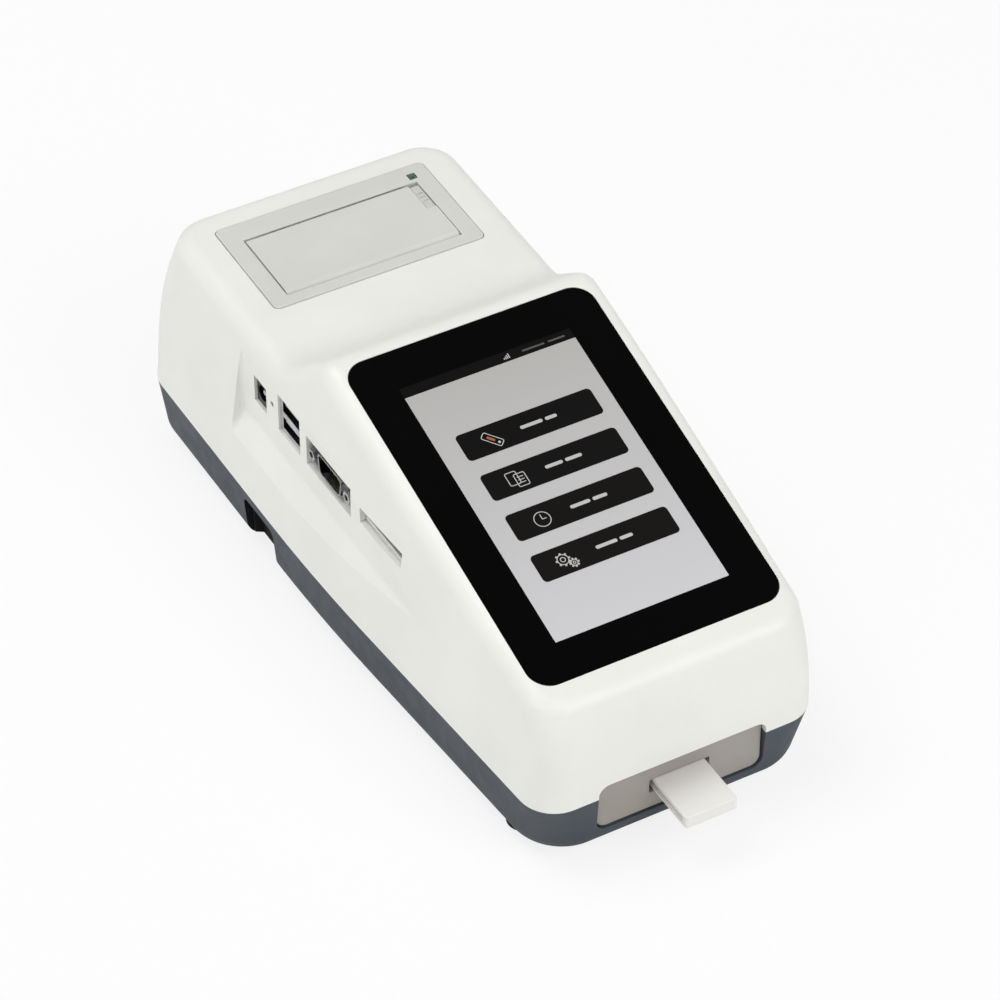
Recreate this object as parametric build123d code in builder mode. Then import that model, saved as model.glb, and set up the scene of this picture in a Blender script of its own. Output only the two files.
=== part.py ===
from build123d import *
from math import acos, cos, pi, radians, sin, tan
import os

os.makedirs("parts", exist_ok=True)

# ---------------------------------------------------------------- driving sizes (mm, degrees)
# Frame: X across, -Y is the front with the slot, +Z up. Origin under the middle of the whole outline.

# casing, measured from the middle of the screen and from the parting line
FRONT_LENGTH = 79.4
REAR_LENGTH = 189.5
REAR_SWELL = 2.2
TAB_PROUD = 18.4
HALF_WIDTH = 62.9
FRONT_TAPER = 0.071
TOP_TAPER = 0.032
TAPER_START = 60.0
SIDE_LEAN = 11.5
CASE_TOP = 84.0
LOWER_HEIGHT = 24.0
LOWER_DRAFT = 5.0
SCREEN_RISE = 62.0
SCREEN_TILT = 15.56
DECK_SLOPE = 1.45
WALL = 2.8
REAR_CORNER = 14.0
FRONT_CORNER = 13.0
BASE_CORNER = 22.0
TAPER_BLEND = 900.0
RIM_RADIUS = 6.5
BASE_RADIUS = 8.0
CREST = 70.7
CREST_RADIUS = 8.0
RAMP_FOOT = 96.8
RAMP_BLEND = 18.0
LIP_HEIGHT = 2.0
LIP_WALL = 1.2
LIP_GAP = 0.45
SEAT_DEPTH = 1.4

# display
GLASS_WIDTH = 93.2
GLASS_LENGTH = 137.1
GLASS_CORNER = 8.0
GLASS_GAP = 0.2
GLASS_SHIFT = 0.5
GLASS_LEDGE = 8.0
LCD_WIDTH = 75.6
LCD_LENGTH = 119.0
LCD_THICK = 4.2
BRACKET_WIDTH = 90.0
BRACKET_LENGTH = 127.0
BRACKET_THICK = 1.2
POST_X = 41.8
POST_S = 59.0
BOARD_POST = 4.0
DRIVER_WIDTH = 68.0
DRIVER_LENGTH = 84.0

# receipt printer under the rear deck
COVER_WIDTH = 82.0
COVER_LENGTH = 47.3
COVER_MIDDLE = 148.35
COVER_PROUD = 0.4
COVER_CORNER = 2.5
COVER_GAP = 0.3
LID_WIDTH = 67.6
LID_LENGTH = 31.7
LID_BACK = 13.25
LID_PROUD = 0.3
LID_THICK = 2.3
LID_GAP = 0.5
PAPER_GAP = 1.0
PAPER_WIDTH = 57.5
HINGE_RADIUS = 2.6
PIN_RADIUS = 1.0
BUCKET_DEPTH = 38.0
BUCKET_WALL = 2.0
PLATEN_RADIUS = 4.5
PLATEN_BACK = 7.5
PLATEN_DROP = 8.0
GEAR_MODULE = 0.5
PLATEN_TEETH = 20
IDLER_TEETH = 24
MOTOR_TEETH = 12
GEAR_FACE = 2.0
IDLER_ANGLE = -110.0
MOTOR_ANGLE = -90.0
HEAD_GAP = 0.3
HEAD_HEIGHT = 11.0
HEAD_ROOM = 3.4
PRINT_MOTOR_RADIUS = 6.0
PRINT_MOTOR_LENGTH = 12.0
LATCH_WIDTH = 3.6
LATCH_LENGTH = 13.4
LATCH_BACK = 12.45
LATCH_HEIGHT = 5.4
LATCH_GAP = 0.2
LAMP_SIZE = 3.0
LAMP_PLACE = (34.2, 17.45)

# cassette tray and its drive
SLOT_WIDTH = 22.8
SLOT_HEIGHT = 5.8
SLOT_RISE = 15.4
TAB_WIDTH = 19.6
TAB_LENGTH = 26.8
TRAY_WIDTH = 22.0
TRAY_THICK = 5.0
CARD_WALL = 3.0
CARD_WIDTH = 20.0
CARD_LENGTH = 70.5
CARD_DEPTH = 3.7
NECK_LENGTH = 10.5
CARRIER_LENGTH = 18.0
TRAVEL_OUT = 80.5
TRAVEL_IN = 17.5
RACK_SPARE = 3.0
RACK_MODULE = 1.0
RACK_PITCH_X = 15.0
DRIVE_TEETH = 16
ROD_RADIUS = 2.0
ROD_X = 16.0
BED_THICK = 2.0
BED_DROP = 2.0
TRAY_MOTOR_RADIUS = 10.0
TRAY_MOTOR_LENGTH = 22.0

# optics over the tray
HEAD_PLACE = 11.0
OPTIC_LENGTH = 34.0
OPTIC_TOP = 48.0
OPTIC_CLEAR = 2.5
LENS_RADIUS = 4.4
CHANNEL_RADIUS = 3.7
SOURCE_RADIUS = 2.5

# front bezel
BEZEL_WIDTH = 62.4
BEZEL_HEIGHT = 20.5
BEZEL_BASE = 8.5
BEZEL_RECESS = 2.1
BEZEL_THICK = 3.2
BEZEL_FLANGE = 1.5
BEZEL_LAP = 3.0
BEZEL_CORNER = 4.0
BEZEL_GAP = 0.4

# ports on the left side: behind the screen's middle, over the parting line, width, height
PORT_INSET = 7.3
POCKET_BACK = 123.5
POCKET_SHOULDER = 26.0
POCKET_FOOT = 13.0
POCKET_BLEND = 5.0
POCKET_CORNER = 1.6
DC_PORT = (109.5, 41.5, 8.2, 10.2)
USB_PORT = (88.2, 43.7, 15.0, 15.0)
SERIAL_PORT = (59.7, 42.5, 30.8, 11.6)
CARD_PORT = (24.0, 42.7, 26.2, 5.4)
CHARGE_LAMP = (100.6, 43.8)
PORT_GAP = 0.4
PORT_SET_BACK = 1.0
CARD_SET_BACK = 2.2
PORT_BOARD_X = 42.0
PORT_POSTS = (40.6, 78.0, 112.0)
PORT_POST_RISE = 31.5

# boards, battery, switch
BOARD_THICK = 1.6
MAIN_BOARD_Z = 34.0
MAIN_BOARD_X = (-38.0, 44.0)
MAIN_BOARD_Y = (24.0, 90.0)
MAIN_POST_INSET = 4.0
BATTERY_RADIUS = 9.4
BATTERY_LENGTH = 68.0
BATTERY_Y = 113.0
SWITCH_X = -26.0
SWITCH_Z = 48.0
SWITCH_WIDTH = 20.0
SWITCH_HEIGHT = 13.6
ROCKER_SWING = 8.0
ROCKER_RISE = 2.6

# base
FOOT_HEIGHT = 2.5
FOOT_RADIUS = 6.0
FOOT_SEAT = 0.8
FOOT_X = 44.0
FOOT_FRONT = 52.5
FOOT_REAR = 165.0
GRIP_MIDDLE = 101.5
GRIP_LENGTH = 22.0
GRIP_TOP = 20.0
GRIP_DEPTH = 8.4
GRIP_LINER = 1.2
GRIP_COVER = 4.5
SCREW_RADIUS = 1.5
BOSS_RADIUS = 4.0
SCREW_FRONT = (47.5, -93.0)
SCREW_REAR = (54.5, 122.0)
BOSS_REACH = 22.0

RUN = 0.05
CLEAR = 200.0

# ---------------------------------------------------------------- derived places
SCREEN_Y = -(REAR_LENGTH + REAR_SWELL - FRONT_LENGTH - TAB_PROUD) / 2
FRONT_Y = SCREEN_Y - FRONT_LENGTH
REAR_Y = SCREEN_Y + REAR_LENGTH
PART_Z = FOOT_HEIGHT + LOWER_HEIGHT
SCREEN_Z = PART_Z + SCREEN_RISE
FLOOR_Z = FOOT_HEIGHT + WALL
COVER_Y = SCREEN_Y + COVER_MIDDLE
DECK_START = COVER_Y - COVER_LENGTH / 2
CREST_Y = SCREEN_Y + CREST
FOOT_Y = SCREEN_Y + RAMP_FOOT
PORT_X = -(HALF_WIDTH - PORT_INSET)

SCREEN = Plane(
    origin=(0, SCREEN_Y, SCREEN_Z),
    x_dir=(1, 0, 0),
    z_dir=(0, -sin(radians(SCREEN_TILT)), cos(radians(SCREEN_TILT))),
)


def screen_z(y):
    """Height of the tilted screen surface over a place in Y."""
    return SCREEN_Z + (y - SCREEN_Y) * tan(radians(SCREEN_TILT))


def deck_z(y):
    """Height of the rear deck over a place in Y."""
    return SCREEN_Z + (y - DECK_START) * tan(radians(DECK_SLOPE))


DECK = Plane(
    origin=(0, COVER_Y, deck_z(COVER_Y)),
    x_dir=(1, 0, 0),
    z_dir=(0, -sin(radians(DECK_SLOPE)), cos(radians(DECK_SLOPE))),
)
DECK_SIDE = Plane(origin=DECK.origin, x_dir=DECK.y_dir, z_dir=DECK.x_dir)
SCREEN_SIDE = Plane(origin=SCREEN.origin, x_dir=SCREEN.y_dir, z_dir=SCREEN.x_dir)


def block(x, y, z, frame=Plane.XY, mode=Mode.ADD):
    """Box between two limits on each axis of a frame."""
    middle = ((x[0] + x[1]) / 2, (y[0] + y[1]) / 2, (z[0] + z[1]) / 2)
    with Locations(frame.location * Location(middle)):
        Box(x[1] - x[0], y[1] - y[0], z[1] - z[0], mode=mode)


def rod(radius, x, y, z, frame=Plane.XY, mode=Mode.ADD):
    """Round bar along the frame's Z between two heights."""
    with Locations(frame.location * Location((x, y, (z[0] + z[1]) / 2))):
        Cylinder(radius, z[1] - z[0], mode=mode)


def save(builder, name):
    """Label a finished piece and write it."""
    builder.part.label = name
    export_step(builder.part, f"parts/{name}.step")


# ---------------------------------------------------------------- casing outline
def plan(half, taper, front_y, rear_y, front_corner, rear_corner):
    """Plan of the casing: straight rear sides, then a slight taper to the front."""
    bend_y = SCREEN_Y + TAPER_START
    front_half = half - taper * (bend_y - front_y)
    with BuildSketch() as outline:
        with BuildLine():
            Polyline(
                (front_half, front_y),
                (half, bend_y),
                (half, rear_y),
                (-half, rear_y),
                (-half, bend_y),
                (-front_half, front_y),
                close=True,
            )
        make_face()
        fillet(outline.vertices().group_by(Axis.Y)[1], TAPER_BLEND)
        fillet(outline.vertices().group_by(Axis.Y)[-1], rear_corner)
        fillet(outline.vertices().group_by(Axis.Y)[0], front_corner)
    return outline.sketch


def upper_section(rise, front_back, rear_out, inset):
    """One level of the upper casing, set in by the wall for its cavity."""
    share = rise / CASE_TOP
    half = HALF_WIDTH - SIDE_LEAN * share - inset
    taper = FRONT_TAPER + (TOP_TAPER - FRONT_TAPER) * share
    front_y = FRONT_Y + front_back + inset
    rear_y = REAR_Y + rear_out - inset
    return plan(half, taper, front_y, rear_y, FRONT_CORNER - inset, REAR_CORNER - inset)


# height over the parting line, how far the front wall leans back, how far the rear wall swells out
WALL_CURVE = (
    (0.0, 0.0, 0.0),
    (16.0, -0.8, 0.8 * REAR_SWELL),
    (29.0, 0.7, 0.95 * REAR_SWELL),
    (40.0, 4.8, 0.3 * REAR_SWELL),
    (CASE_TOP, 31.4, -9.5),
)


def side_profile(inset):
    """Side view of the top: tilted screen, crest, ramp and rear deck."""
    drop = inset / cos(radians(SCREEN_TILT))
    front = FRONT_Y - CREST_RADIUS
    rear = REAR_Y + CREST_RADIUS
    crest = (CREST_Y, screen_z(CREST_Y) - drop)
    foot = (FOOT_Y - inset * 0.34, deck_z(FOOT_Y) - inset)
    with BuildSketch(Plane.YZ.offset(-HALF_WIDTH - WALL)) as profile:
        with BuildLine():
            Polyline(
                (front, PART_Z - WALL),
                (front, screen_z(front) - drop),
                (crest[0] - inset * 0.22, screen_z(crest[0] - inset * 0.22) - drop),
                foot,
                (rear, deck_z(rear) - inset),
                (rear, PART_Z - WALL),
                close=True,
            )
        make_face()
        fillet(profile.vertices().sort_by_distance(crest)[0], CREST_RADIUS - inset)
        fillet(profile.vertices().sort_by_distance(foot)[0], RAMP_BLEND + inset)
    return profile.sketch


def upper_body(inset):
    """Solid shape of the upper casing, or of its cavity."""
    with BuildPart() as body:
        for rise, front_back, rear_out in WALL_CURVE:
            with BuildSketch(Plane.XY.offset(PART_Z + rise)):
                add(upper_section(rise, front_back, rear_out, inset))
        loft()
        extrude(side_profile(inset), amount=2 * (HALF_WIDTH + WALL), mode=Mode.INTERSECT)
        top = body.faces().filter_by(lambda face: face.normal_at().Z > 0.7)
        edges = [edge for face in top for edge in face.edges()]
        rim = [edge for edge in edges if sum(edge.is_same(other) for other in edges) == 1]
        fillet(rim, RIM_RADIUS - inset)
    return body.part


def lower_body(inset):
    """Solid shape of the lower casing, or of its cavity."""
    lean = LOWER_HEIGHT * tan(radians(LOWER_DRAFT))
    top = plan(
        HALF_WIDTH - inset, FRONT_TAPER, FRONT_Y + inset, REAR_Y - inset,
        FRONT_CORNER - inset, REAR_CORNER - inset,
    )
    base = plan(
        HALF_WIDTH - lean - inset, FRONT_TAPER, FRONT_Y + lean + inset, REAR_Y - lean - inset,
        BASE_CORNER - inset, REAR_CORNER + WALL - inset,
    )
    with BuildPart() as body:
        with BuildSketch(Plane.XY.offset(PART_Z)):
            add(top)
        with BuildSketch(Plane.XY.offset(FOOT_HEIGHT + inset)):
            add(base)
        loft(ruled=True)
        fillet(body.faces().sort_by(Axis.Z)[0].edges(), BASE_RADIUS - inset)
    return body.part


upper_outer = upper_body(0)
upper_cavity = upper_body(WALL)
lower_outer = lower_body(0)
lower_cavity = lower_body(WALL)

# ---------------------------------------------------------------- places inside
BEZEL_Y = FRONT_Y + BEZEL_RECESS
BEZEL_BACK = BEZEL_Y + BEZEL_THICK + BEZEL_FLANGE
BEZEL_Z = FOOT_HEIGHT + BEZEL_BASE + BEZEL_HEIGHT / 2
TRAY_Z = FOOT_HEIGHT + SLOT_RISE + (SLOT_HEIGHT - TRAY_THICK) / 2
TRAY_TOP = TRAY_Z + TRAY_THICK
TRAY_TIP = FRONT_Y - TAB_PROUD
SHOULDER_Y = TRAY_TIP + TAB_LENGTH
CARD_START = SHOULDER_Y + CARD_WALL
CARRIER_Y = CARD_START + CARD_LENGTH + NECK_LENGTH
CARRIER_END = CARRIER_Y + CARRIER_LENGTH
ROD_Z = TRAY_Z + TRAY_THICK / 2
PINION_Y = CARRIER_Y + TRAVEL_IN + RACK_SPARE
PINION_X = RACK_PITCH_X + RACK_MODULE * DRIVE_TEETH / 2
RACK_LENGTH = TRAVEL_OUT + TRAVEL_IN + 2 * RACK_SPARE
BED_TOP = TRAY_Z - BED_DROP
BED_FRONT = BEZEL_BACK + 1.0
BED_BACK = CARRIER_END + TRAVEL_IN + 10.0
BED_X = (-26.0, 34.0)
BED_SHELF = (34.0, 42.0)
OPTIC_Y = SCREEN_Y - HEAD_PLACE
OPTIC_POSTS_X = (-24.0, 22.0)
OPTIC_POSTS_Y = (OPTIC_Y - OPTIC_LENGTH / 2 + 4.0, OPTIC_Y + OPTIC_LENGTH / 2 - 4.0)
LENS_SEAT = TRAY_TOP + OPTIC_CLEAR + 8.0
SOURCE_AXIS = Plane(origin=(0, OPTIC_Y, TRAY_TOP), x_dir=(1, 0, 0), z_dir=(0, 1, 1))
BED_POSTS = (
    (BED_X[0] + 4.0, BED_FRONT + 9.0),
    (BED_X[1] - 4.0, BED_FRONT + 9.0),
    (BED_X[0] + 3.2, BED_BACK - 5.0),
    (BED_X[1] - 4.0, BED_BACK - 6.0),
)
MAIN_POSTS = [
    (x, y)
    for x in (MAIN_BOARD_X[0] + MAIN_POST_INSET, MAIN_BOARD_X[1] - MAIN_POST_INSET)
    for y in (MAIN_BOARD_Y[0] + MAIN_POST_INSET, MAIN_BOARD_Y[1] - MAIN_POST_INSET)
]
STRAP_POSTS = ((-BATTERY_LENGTH / 2 - 6.0, BATTERY_Y), (BATTERY_LENGTH / 2 + 6.0, BATTERY_Y))
CASE_SCREWS = (
    (-SCREW_FRONT[0], SCREW_FRONT[1]),
    (SCREW_FRONT[0], SCREW_FRONT[1]),
    (-SCREW_REAR[0], SCREW_REAR[1]),
    (SCREW_REAR[0], SCREW_REAR[1]),
)
FOOT_PLACES = [
    (x, SCREEN_Y + y) for x in (-FOOT_X, FOOT_X) for y in (-FOOT_FRONT, FOOT_REAR)
]
GRIP_Y = SCREEN_Y + GRIP_MIDDLE
GRIP_X = HALF_WIDTH - GRIP_DEPTH
SWITCH_FACE = REAR_Y + REAR_SWELL - 1.2
ROCKER_Y = SWITCH_FACE - ROCKER_RISE
POST_PLACES = [(x, GLASS_SHIFT + s) for x in (-POST_X, POST_X) for s in (-POST_S, POST_S)]
LCD_TOP = -SEAT_DEPTH - RUN
LCD_BASE = LCD_TOP - LCD_THICK
BRACKET_BASE = LCD_BASE - BRACKET_THICK
DRIVER_TOP = BRACKET_BASE - BOARD_POST
COVER_SEAT = COVER_PROUD - (SEAT_DEPTH + COVER_PROUD)
BUCKET_X = LID_WIDTH / 2 + LID_GAP
BUCKET_FRONT = LID_BACK - LID_LENGTH - LID_GAP
BUCKET_REAR = LID_BACK + PAPER_GAP
LID_TOP = COVER_PROUD + LID_PROUD
HINGE_Y = LID_BACK - LID_LENGTH + HINGE_RADIUS
HINGE_Z = LID_TOP - HINGE_RADIUS
PLATEN_Y = LID_BACK - PLATEN_BACK
PLATEN_Z = LID_TOP - PLATEN_DROP
CHEEK_X = PAPER_WIDTH / 2 + 0.2
CHEEK_THICK = 1.0
GEAR_X = -CHEEK_X - CHEEK_THICK - 0.3
HEAD_Y = PLATEN_Y + PLATEN_RADIUS + HEAD_GAP
HEAD_TOP = PLATEN_Z + 0.3
HEAD_BACK = HEAD_Y + 3.0
HEAD_WALL = HEAD_BACK + HEAD_ROOM
LATCH_X = (BUCKET_X - 0.4 - LATCH_WIDTH, BUCKET_X - 0.4)
LATCH_Y = (LATCH_BACK - LATCH_LENGTH, LATCH_BACK)
LATCH_BASE = COVER_PROUD - LATCH_HEIGHT
LATCH_SHELF = LATCH_BASE - 3.2


def window(port, gap, back):
    """Port opening or plug body: sketch facing out of the left wall, grown by a gap."""
    place, rise, width, height = port
    with BuildSketch(Plane.YZ.offset(back)) as outline:
        with Locations((SCREEN_Y + place, PART_Z + rise)):
            Rectangle(width + 2 * gap, height + 2 * gap)
    return outline.sketch


def port_pocket(wall):
    """Space cut from the left side for the ports, or that space with a wall round it."""
    foot = PART_Z + POCKET_FOOT
    shoulder = PART_Z + POCKET_SHOULDER
    deep = PORT_X + wall
    far = PORT_X - 40.0
    slope = Vector(PORT_INSET, shoulder - foot - 2.0).normalized()
    with BuildPart() as pocket:
        with BuildSketch(Plane.XZ.offset(-(SCREEN_Y + POCKET_BACK + wall))):
            with BuildLine():
                Polyline(
                    (deep, CASE_TOP + PART_Z + 20.0),
                    (deep, shoulder - wall * 0.6),
                    (-HALF_WIDTH + wall * slope.Y, foot - wall * slope.X),
                    (far, foot - 12.0),
                    (far, CASE_TOP + PART_Z + 20.0),
                    close=True,
                )
            make_face()
        extrude(amount=POCKET_BACK + FRONT_LENGTH)
        ramp = pocket.edges().filter_by(Axis.Y).sort_by_distance((deep, SCREEN_Y, shoulder))[0]
        fillet(ramp, POCKET_BLEND)
        rear_edges = pocket.faces().sort_by(Axis.Y)[-1].edges()
        inner_edges = rear_edges.filter_by(
            lambda edge: edge.center().X > far + 5.0 and edge.center().Z < CASE_TOP + PART_Z + 19.0
        )
        fillet(inner_edges, POCKET_CORNER)
    return pocket.part


def grip_notch(side, wall):
    """Finger notch in the lower side wall, or that notch with a wall round it."""
    inner = GRIP_X - wall
    outer = HALF_WIDTH + 6.0
    top = FOOT_HEIGHT + GRIP_TOP + wall
    with BuildPart() as notch:
        with BuildSketch(Plane.YZ.offset(inner if side > 0 else -outer)):
            with Locations((GRIP_Y, (top - 10.0) / 2)):
                Rectangle(GRIP_LENGTH + 2 * wall, top + 10.0)
        extrude(amount=outer - inner)
        fillet(notch.edges().filter_by(Axis.X).group_by(Axis.Z)[-1], 3.0 + wall)
    return notch.part


# ---------------------------------------------------------------- upper housing
with BuildPart() as cavity:
    add(upper_cavity)
    add(port_pocket(WALL), mode=Mode.SUBTRACT)

with BuildPart() as upper_bosses:
    for x, y in CASE_SCREWS:
        rod(BOSS_RADIUS, x, y, (PART_Z + LIP_HEIGHT + RUN, PART_Z + BOSS_REACH))
        rod(SCREW_RADIUS + RUN, x, y, (PART_Z, PART_Z + BOSS_REACH - 4.0), mode=Mode.SUBTRACT)
    add(upper_outer, mode=Mode.INTERSECT)

with BuildPart() as upper_housing:
    add(upper_outer)
    add(cavity.part, mode=Mode.SUBTRACT)
    add(port_pocket(0), mode=Mode.SUBTRACT)

    # seat and window of the display, with screw posts under the ledge
    with BuildSketch(SCREEN):
        with Locations((0, GLASS_SHIFT)):
            RectangleRounded(GLASS_WIDTH + 2 * GLASS_GAP, GLASS_LENGTH + 2 * GLASS_GAP, GLASS_CORNER)
    extrude(amount=-SEAT_DEPTH, mode=Mode.SUBTRACT)
    with BuildSketch(SCREEN.offset(-SEAT_DEPTH)):
        with Locations((0, GLASS_SHIFT)):
            RectangleRounded(GLASS_WIDTH - 2 * GLASS_LEDGE, GLASS_LENGTH - 2 * GLASS_LEDGE, 2.0)
    extrude(amount=-WALL, mode=Mode.SUBTRACT)
    for x, s in POST_PLACES:
        rod(3.0, x, s, (LCD_BASE, -WALL + 0.3), SCREEN)
        rod(0.9, x, s, (LCD_BASE - 1.0, -SEAT_DEPTH - 0.6), SCREEN, Mode.SUBTRACT)

    # seat and opening of the printer
    with BuildSketch(DECK.offset(5.0)):
        RectangleRounded(COVER_WIDTH + 2 * COVER_GAP, COVER_LENGTH + 2 * COVER_GAP, COVER_CORNER)
    extrude(amount=-SEAT_DEPTH - 5.0, mode=Mode.SUBTRACT)
    block(
        (-BUCKET_X - BUCKET_WALL - 0.5, BUCKET_X + BUCKET_WALL + 0.5),
        (BUCKET_FRONT - BUCKET_WALL - 0.5, HEAD_WALL + BUCKET_WALL + 0.4),
        (-12.0, 0.0), DECK, Mode.SUBTRACT,
    )
    for x in (-1, 1):
        for y in (-1, 1):
            rod(
                1.1, x * (COVER_WIDTH / 2 - 2.1), y * (COVER_LENGTH / 2 - 8.0),
                (-WALL - 1.0, 0.0), DECK, Mode.SUBTRACT,
            )

    # opening of the front bezel
    with BuildSketch(Plane.XZ.offset(-BEZEL_BACK)):
        with Locations((0, BEZEL_Z)):
            RectangleRounded(BEZEL_WIDTH + 2 * BEZEL_GAP, BEZEL_HEIGHT + 2 * BEZEL_GAP, BEZEL_CORNER)
    extrude(amount=20.0, mode=Mode.SUBTRACT)

    # port windows and the posts of the port board
    for port in (DC_PORT, USB_PORT, SERIAL_PORT, CARD_PORT):
        add(
            extrude(window(port, PORT_GAP, PORT_X - 10.0), amount=10.0 + WALL + 3.0, mode=Mode.PRIVATE),
            mode=Mode.SUBTRACT,
        )
    with Locations(
        Plane.YZ.location * Location((SCREEN_Y + CHARGE_LAMP[0], PART_Z + CHARGE_LAMP[1], PORT_X)),
    ):
        Cylinder(1.1, 12.0, mode=Mode.SUBTRACT)
    for place in PORT_POSTS:
        with Locations(
            Plane.YZ.location
            * Location((SCREEN_Y + place, PART_Z + PORT_POST_RISE, (PORT_X + 0.6 - PORT_BOARD_X) / 2))
        ):
            Cylinder(2.5, -PORT_BOARD_X - PORT_X - 0.6)
        with Locations(
            Plane.YZ.location * Location(
                (SCREEN_Y + place, PART_Z + PORT_POST_RISE, -PORT_BOARD_X - 1.0),
            )
        ):
            Cylinder(0.8 + RUN, 4.0, mode=Mode.SUBTRACT)

    # flat seat and hole of the power switch in the rear wall
    block(
        (SWITCH_X - SWITCH_WIDTH / 2 - 1.8, SWITCH_X + SWITCH_WIDTH / 2 + 1.8),
        (SWITCH_FACE, REAR_Y + 10.0),
        (SWITCH_Z - SWITCH_HEIGHT / 2 - 1.8, SWITCH_Z + SWITCH_HEIGHT / 2 + 1.8),
        mode=Mode.SUBTRACT,
    )
    block(
        (SWITCH_X - SWITCH_WIDTH / 2 + 0.2, SWITCH_X + SWITCH_WIDTH / 2 - 0.2),
        (REAR_Y - 12.0, REAR_Y + 10.0),
        (SWITCH_Z - SWITCH_HEIGHT / 2 + 0.2, SWITCH_Z + SWITCH_HEIGHT / 2 - 0.2),
        mode=Mode.SUBTRACT,
    )

    # bosses for the casing screws
    add(upper_bosses.part)
save(upper_housing, "upper_housing")

# ---------------------------------------------------------------- lower housing
with BuildPart() as lower_space:
    add(lower_cavity)
    for side in (-1, 1):
        add(grip_notch(side, WALL), mode=Mode.SUBTRACT)


def ring(outer, inner):
    """Closed band that follows the casing wall between two distances from its outside."""
    edges = []
    for inset in (outer, inner):
        edges.append(plan(
            HALF_WIDTH - inset, FRONT_TAPER, FRONT_Y + inset, REAR_Y - inset,
            FRONT_CORNER - inset, REAR_CORNER - inset,
        ))
    with BuildSketch() as band:
        add(edges[0])
        add(edges[1], mode=Mode.SUBTRACT)
    return band.sketch


with BuildPart() as lip:
    with BuildSketch(Plane.XY.offset(PART_Z - WALL)):
        add(ring(WALL - 0.5, WALL + LIP_GAP + LIP_WALL))
    extrude(amount=WALL)
    with BuildSketch(Plane.XY.offset(PART_Z)):
        add(ring(WALL + LIP_GAP, WALL + LIP_GAP + LIP_WALL))
    extrude(amount=LIP_HEIGHT)

with BuildPart() as boss_room:
    add(lower_outer)
    block((-CLEAR, CLEAR), (-CLEAR, CLEAR), (PART_Z - 1.0, PART_Z + 40.0))

with BuildPart() as lower_bosses:
    for x, y in BED_POSTS:
        rod(3.5, x, y, (FOOT_HEIGHT, BED_TOP - BED_THICK - RUN))
        rod(1.0, x, y, (FLOOR_Z + 2.0, BED_TOP), mode=Mode.SUBTRACT)
    for x, y in MAIN_POSTS:
        rod(3.5, x, y, (FOOT_HEIGHT, MAIN_BOARD_Z - RUN))
        rod(1.0, x, y, (MAIN_BOARD_Z - 9.0, MAIN_BOARD_Z + 1.0), mode=Mode.SUBTRACT)
    for x, y in STRAP_POSTS:
        rod(3.5, x, y, (FOOT_HEIGHT, FLOOR_Z + 8.0))
        rod(1.0, x, y, (FLOOR_Z + 1.0, FLOOR_Z + 9.0), mode=Mode.SUBTRACT)
    for x, y in CASE_SCREWS:
        rod(BOSS_RADIUS, x, y, (FOOT_HEIGHT, PART_Z + LIP_HEIGHT))
    add(boss_room.part, mode=Mode.INTERSECT)

with BuildPart() as lower_housing:
    add(lower_outer)
    add(lower_space.part, mode=Mode.SUBTRACT)
    add(lip.part)
    for side in (-1, 1):
        add(grip_notch(side, 0), mode=Mode.SUBTRACT)
    with BuildSketch(Plane.XZ.offset(-BEZEL_BACK - 1.0)):
        with Locations((0, BEZEL_Z)):
            RectangleRounded(BEZEL_WIDTH + 2 * BEZEL_GAP, BEZEL_HEIGHT + 2 * BEZEL_GAP, BEZEL_CORNER)
    extrude(amount=20.0, mode=Mode.SUBTRACT)
    block(
        (-BEZEL_WIDTH / 2 - BEZEL_LAP - 1.0, BEZEL_WIDTH / 2 + BEZEL_LAP + 1.0),
        (
            BEZEL_Y + BEZEL_THICK - 0.1, BEZEL_BACK + 4.0,
        ), (PART_Z - 6.0, PART_Z + WALL), mode=Mode.SUBTRACT,
    )
    add(lower_bosses.part)
    for x, y in CASE_SCREWS:
        rod(SCREW_RADIUS + 0.2, x, y, (0, PART_Z + LIP_HEIGHT + 1.0), mode=Mode.SUBTRACT)
        rod(SCREW_RADIUS + 1.5, x, y, (0, FLOOR_Z + 4.0), mode=Mode.SUBTRACT)
    for x, y in FOOT_PLACES:
        rod(FOOT_RADIUS + 0.1, x, y, (0, FOOT_HEIGHT + FOOT_SEAT), mode=Mode.SUBTRACT)
save(lower_housing, "lower_housing")

def grip_liner(side):
    """Thin rubber sleeve on the roof and ends of one grip notch."""
    inner = side * GRIP_X
    outer = side * (GRIP_X + GRIP_COVER)
    with BuildPart() as liner:
        add(grip_notch(side, -RUN))
        add(grip_notch(side, -GRIP_LINER), mode=Mode.SUBTRACT)
        block(
            (min(inner, outer), max(inner, outer)),
            (GRIP_Y - GRIP_LENGTH, GRIP_Y + GRIP_LENGTH),
            (FOOT_HEIGHT + 1.0, PART_Z),
            mode=Mode.INTERSECT,
        )
    return liner.part


with BuildPart() as grip_liners:
    for side in (-1, 1):
        add(grip_liner(side))
save(grip_liners, "grip_liners")

with BuildPart() as rubber_feet:
    for x, y in FOOT_PLACES:
        rod(FOOT_RADIUS, x, y, (0, FOOT_HEIGHT + FOOT_SEAT - RUN))
    fillet(rubber_feet.edges().group_by(Axis.Z)[0], 0.6)
save(rubber_feet, "rubber_feet")

with BuildPart() as housing_screws:
    for x, y in CASE_SCREWS:
        rod(SCREW_RADIUS, x, y, (FLOOR_Z + 3.0, PART_Z + BOSS_REACH - 8.0))
        rod(SCREW_RADIUS + 1.2, x, y, (FLOOR_Z + 1.2, FLOOR_Z + 4.0 - RUN))
        with BuildSketch(Plane.XY.offset(FLOOR_Z + 1.2)):
            with Locations((x, y)):
                Rectangle(3.0, 0.6)
                Rectangle(0.6, 3.0)
        extrude(amount=1.2, mode=Mode.SUBTRACT)
save(housing_screws, "housing_screws")

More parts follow.
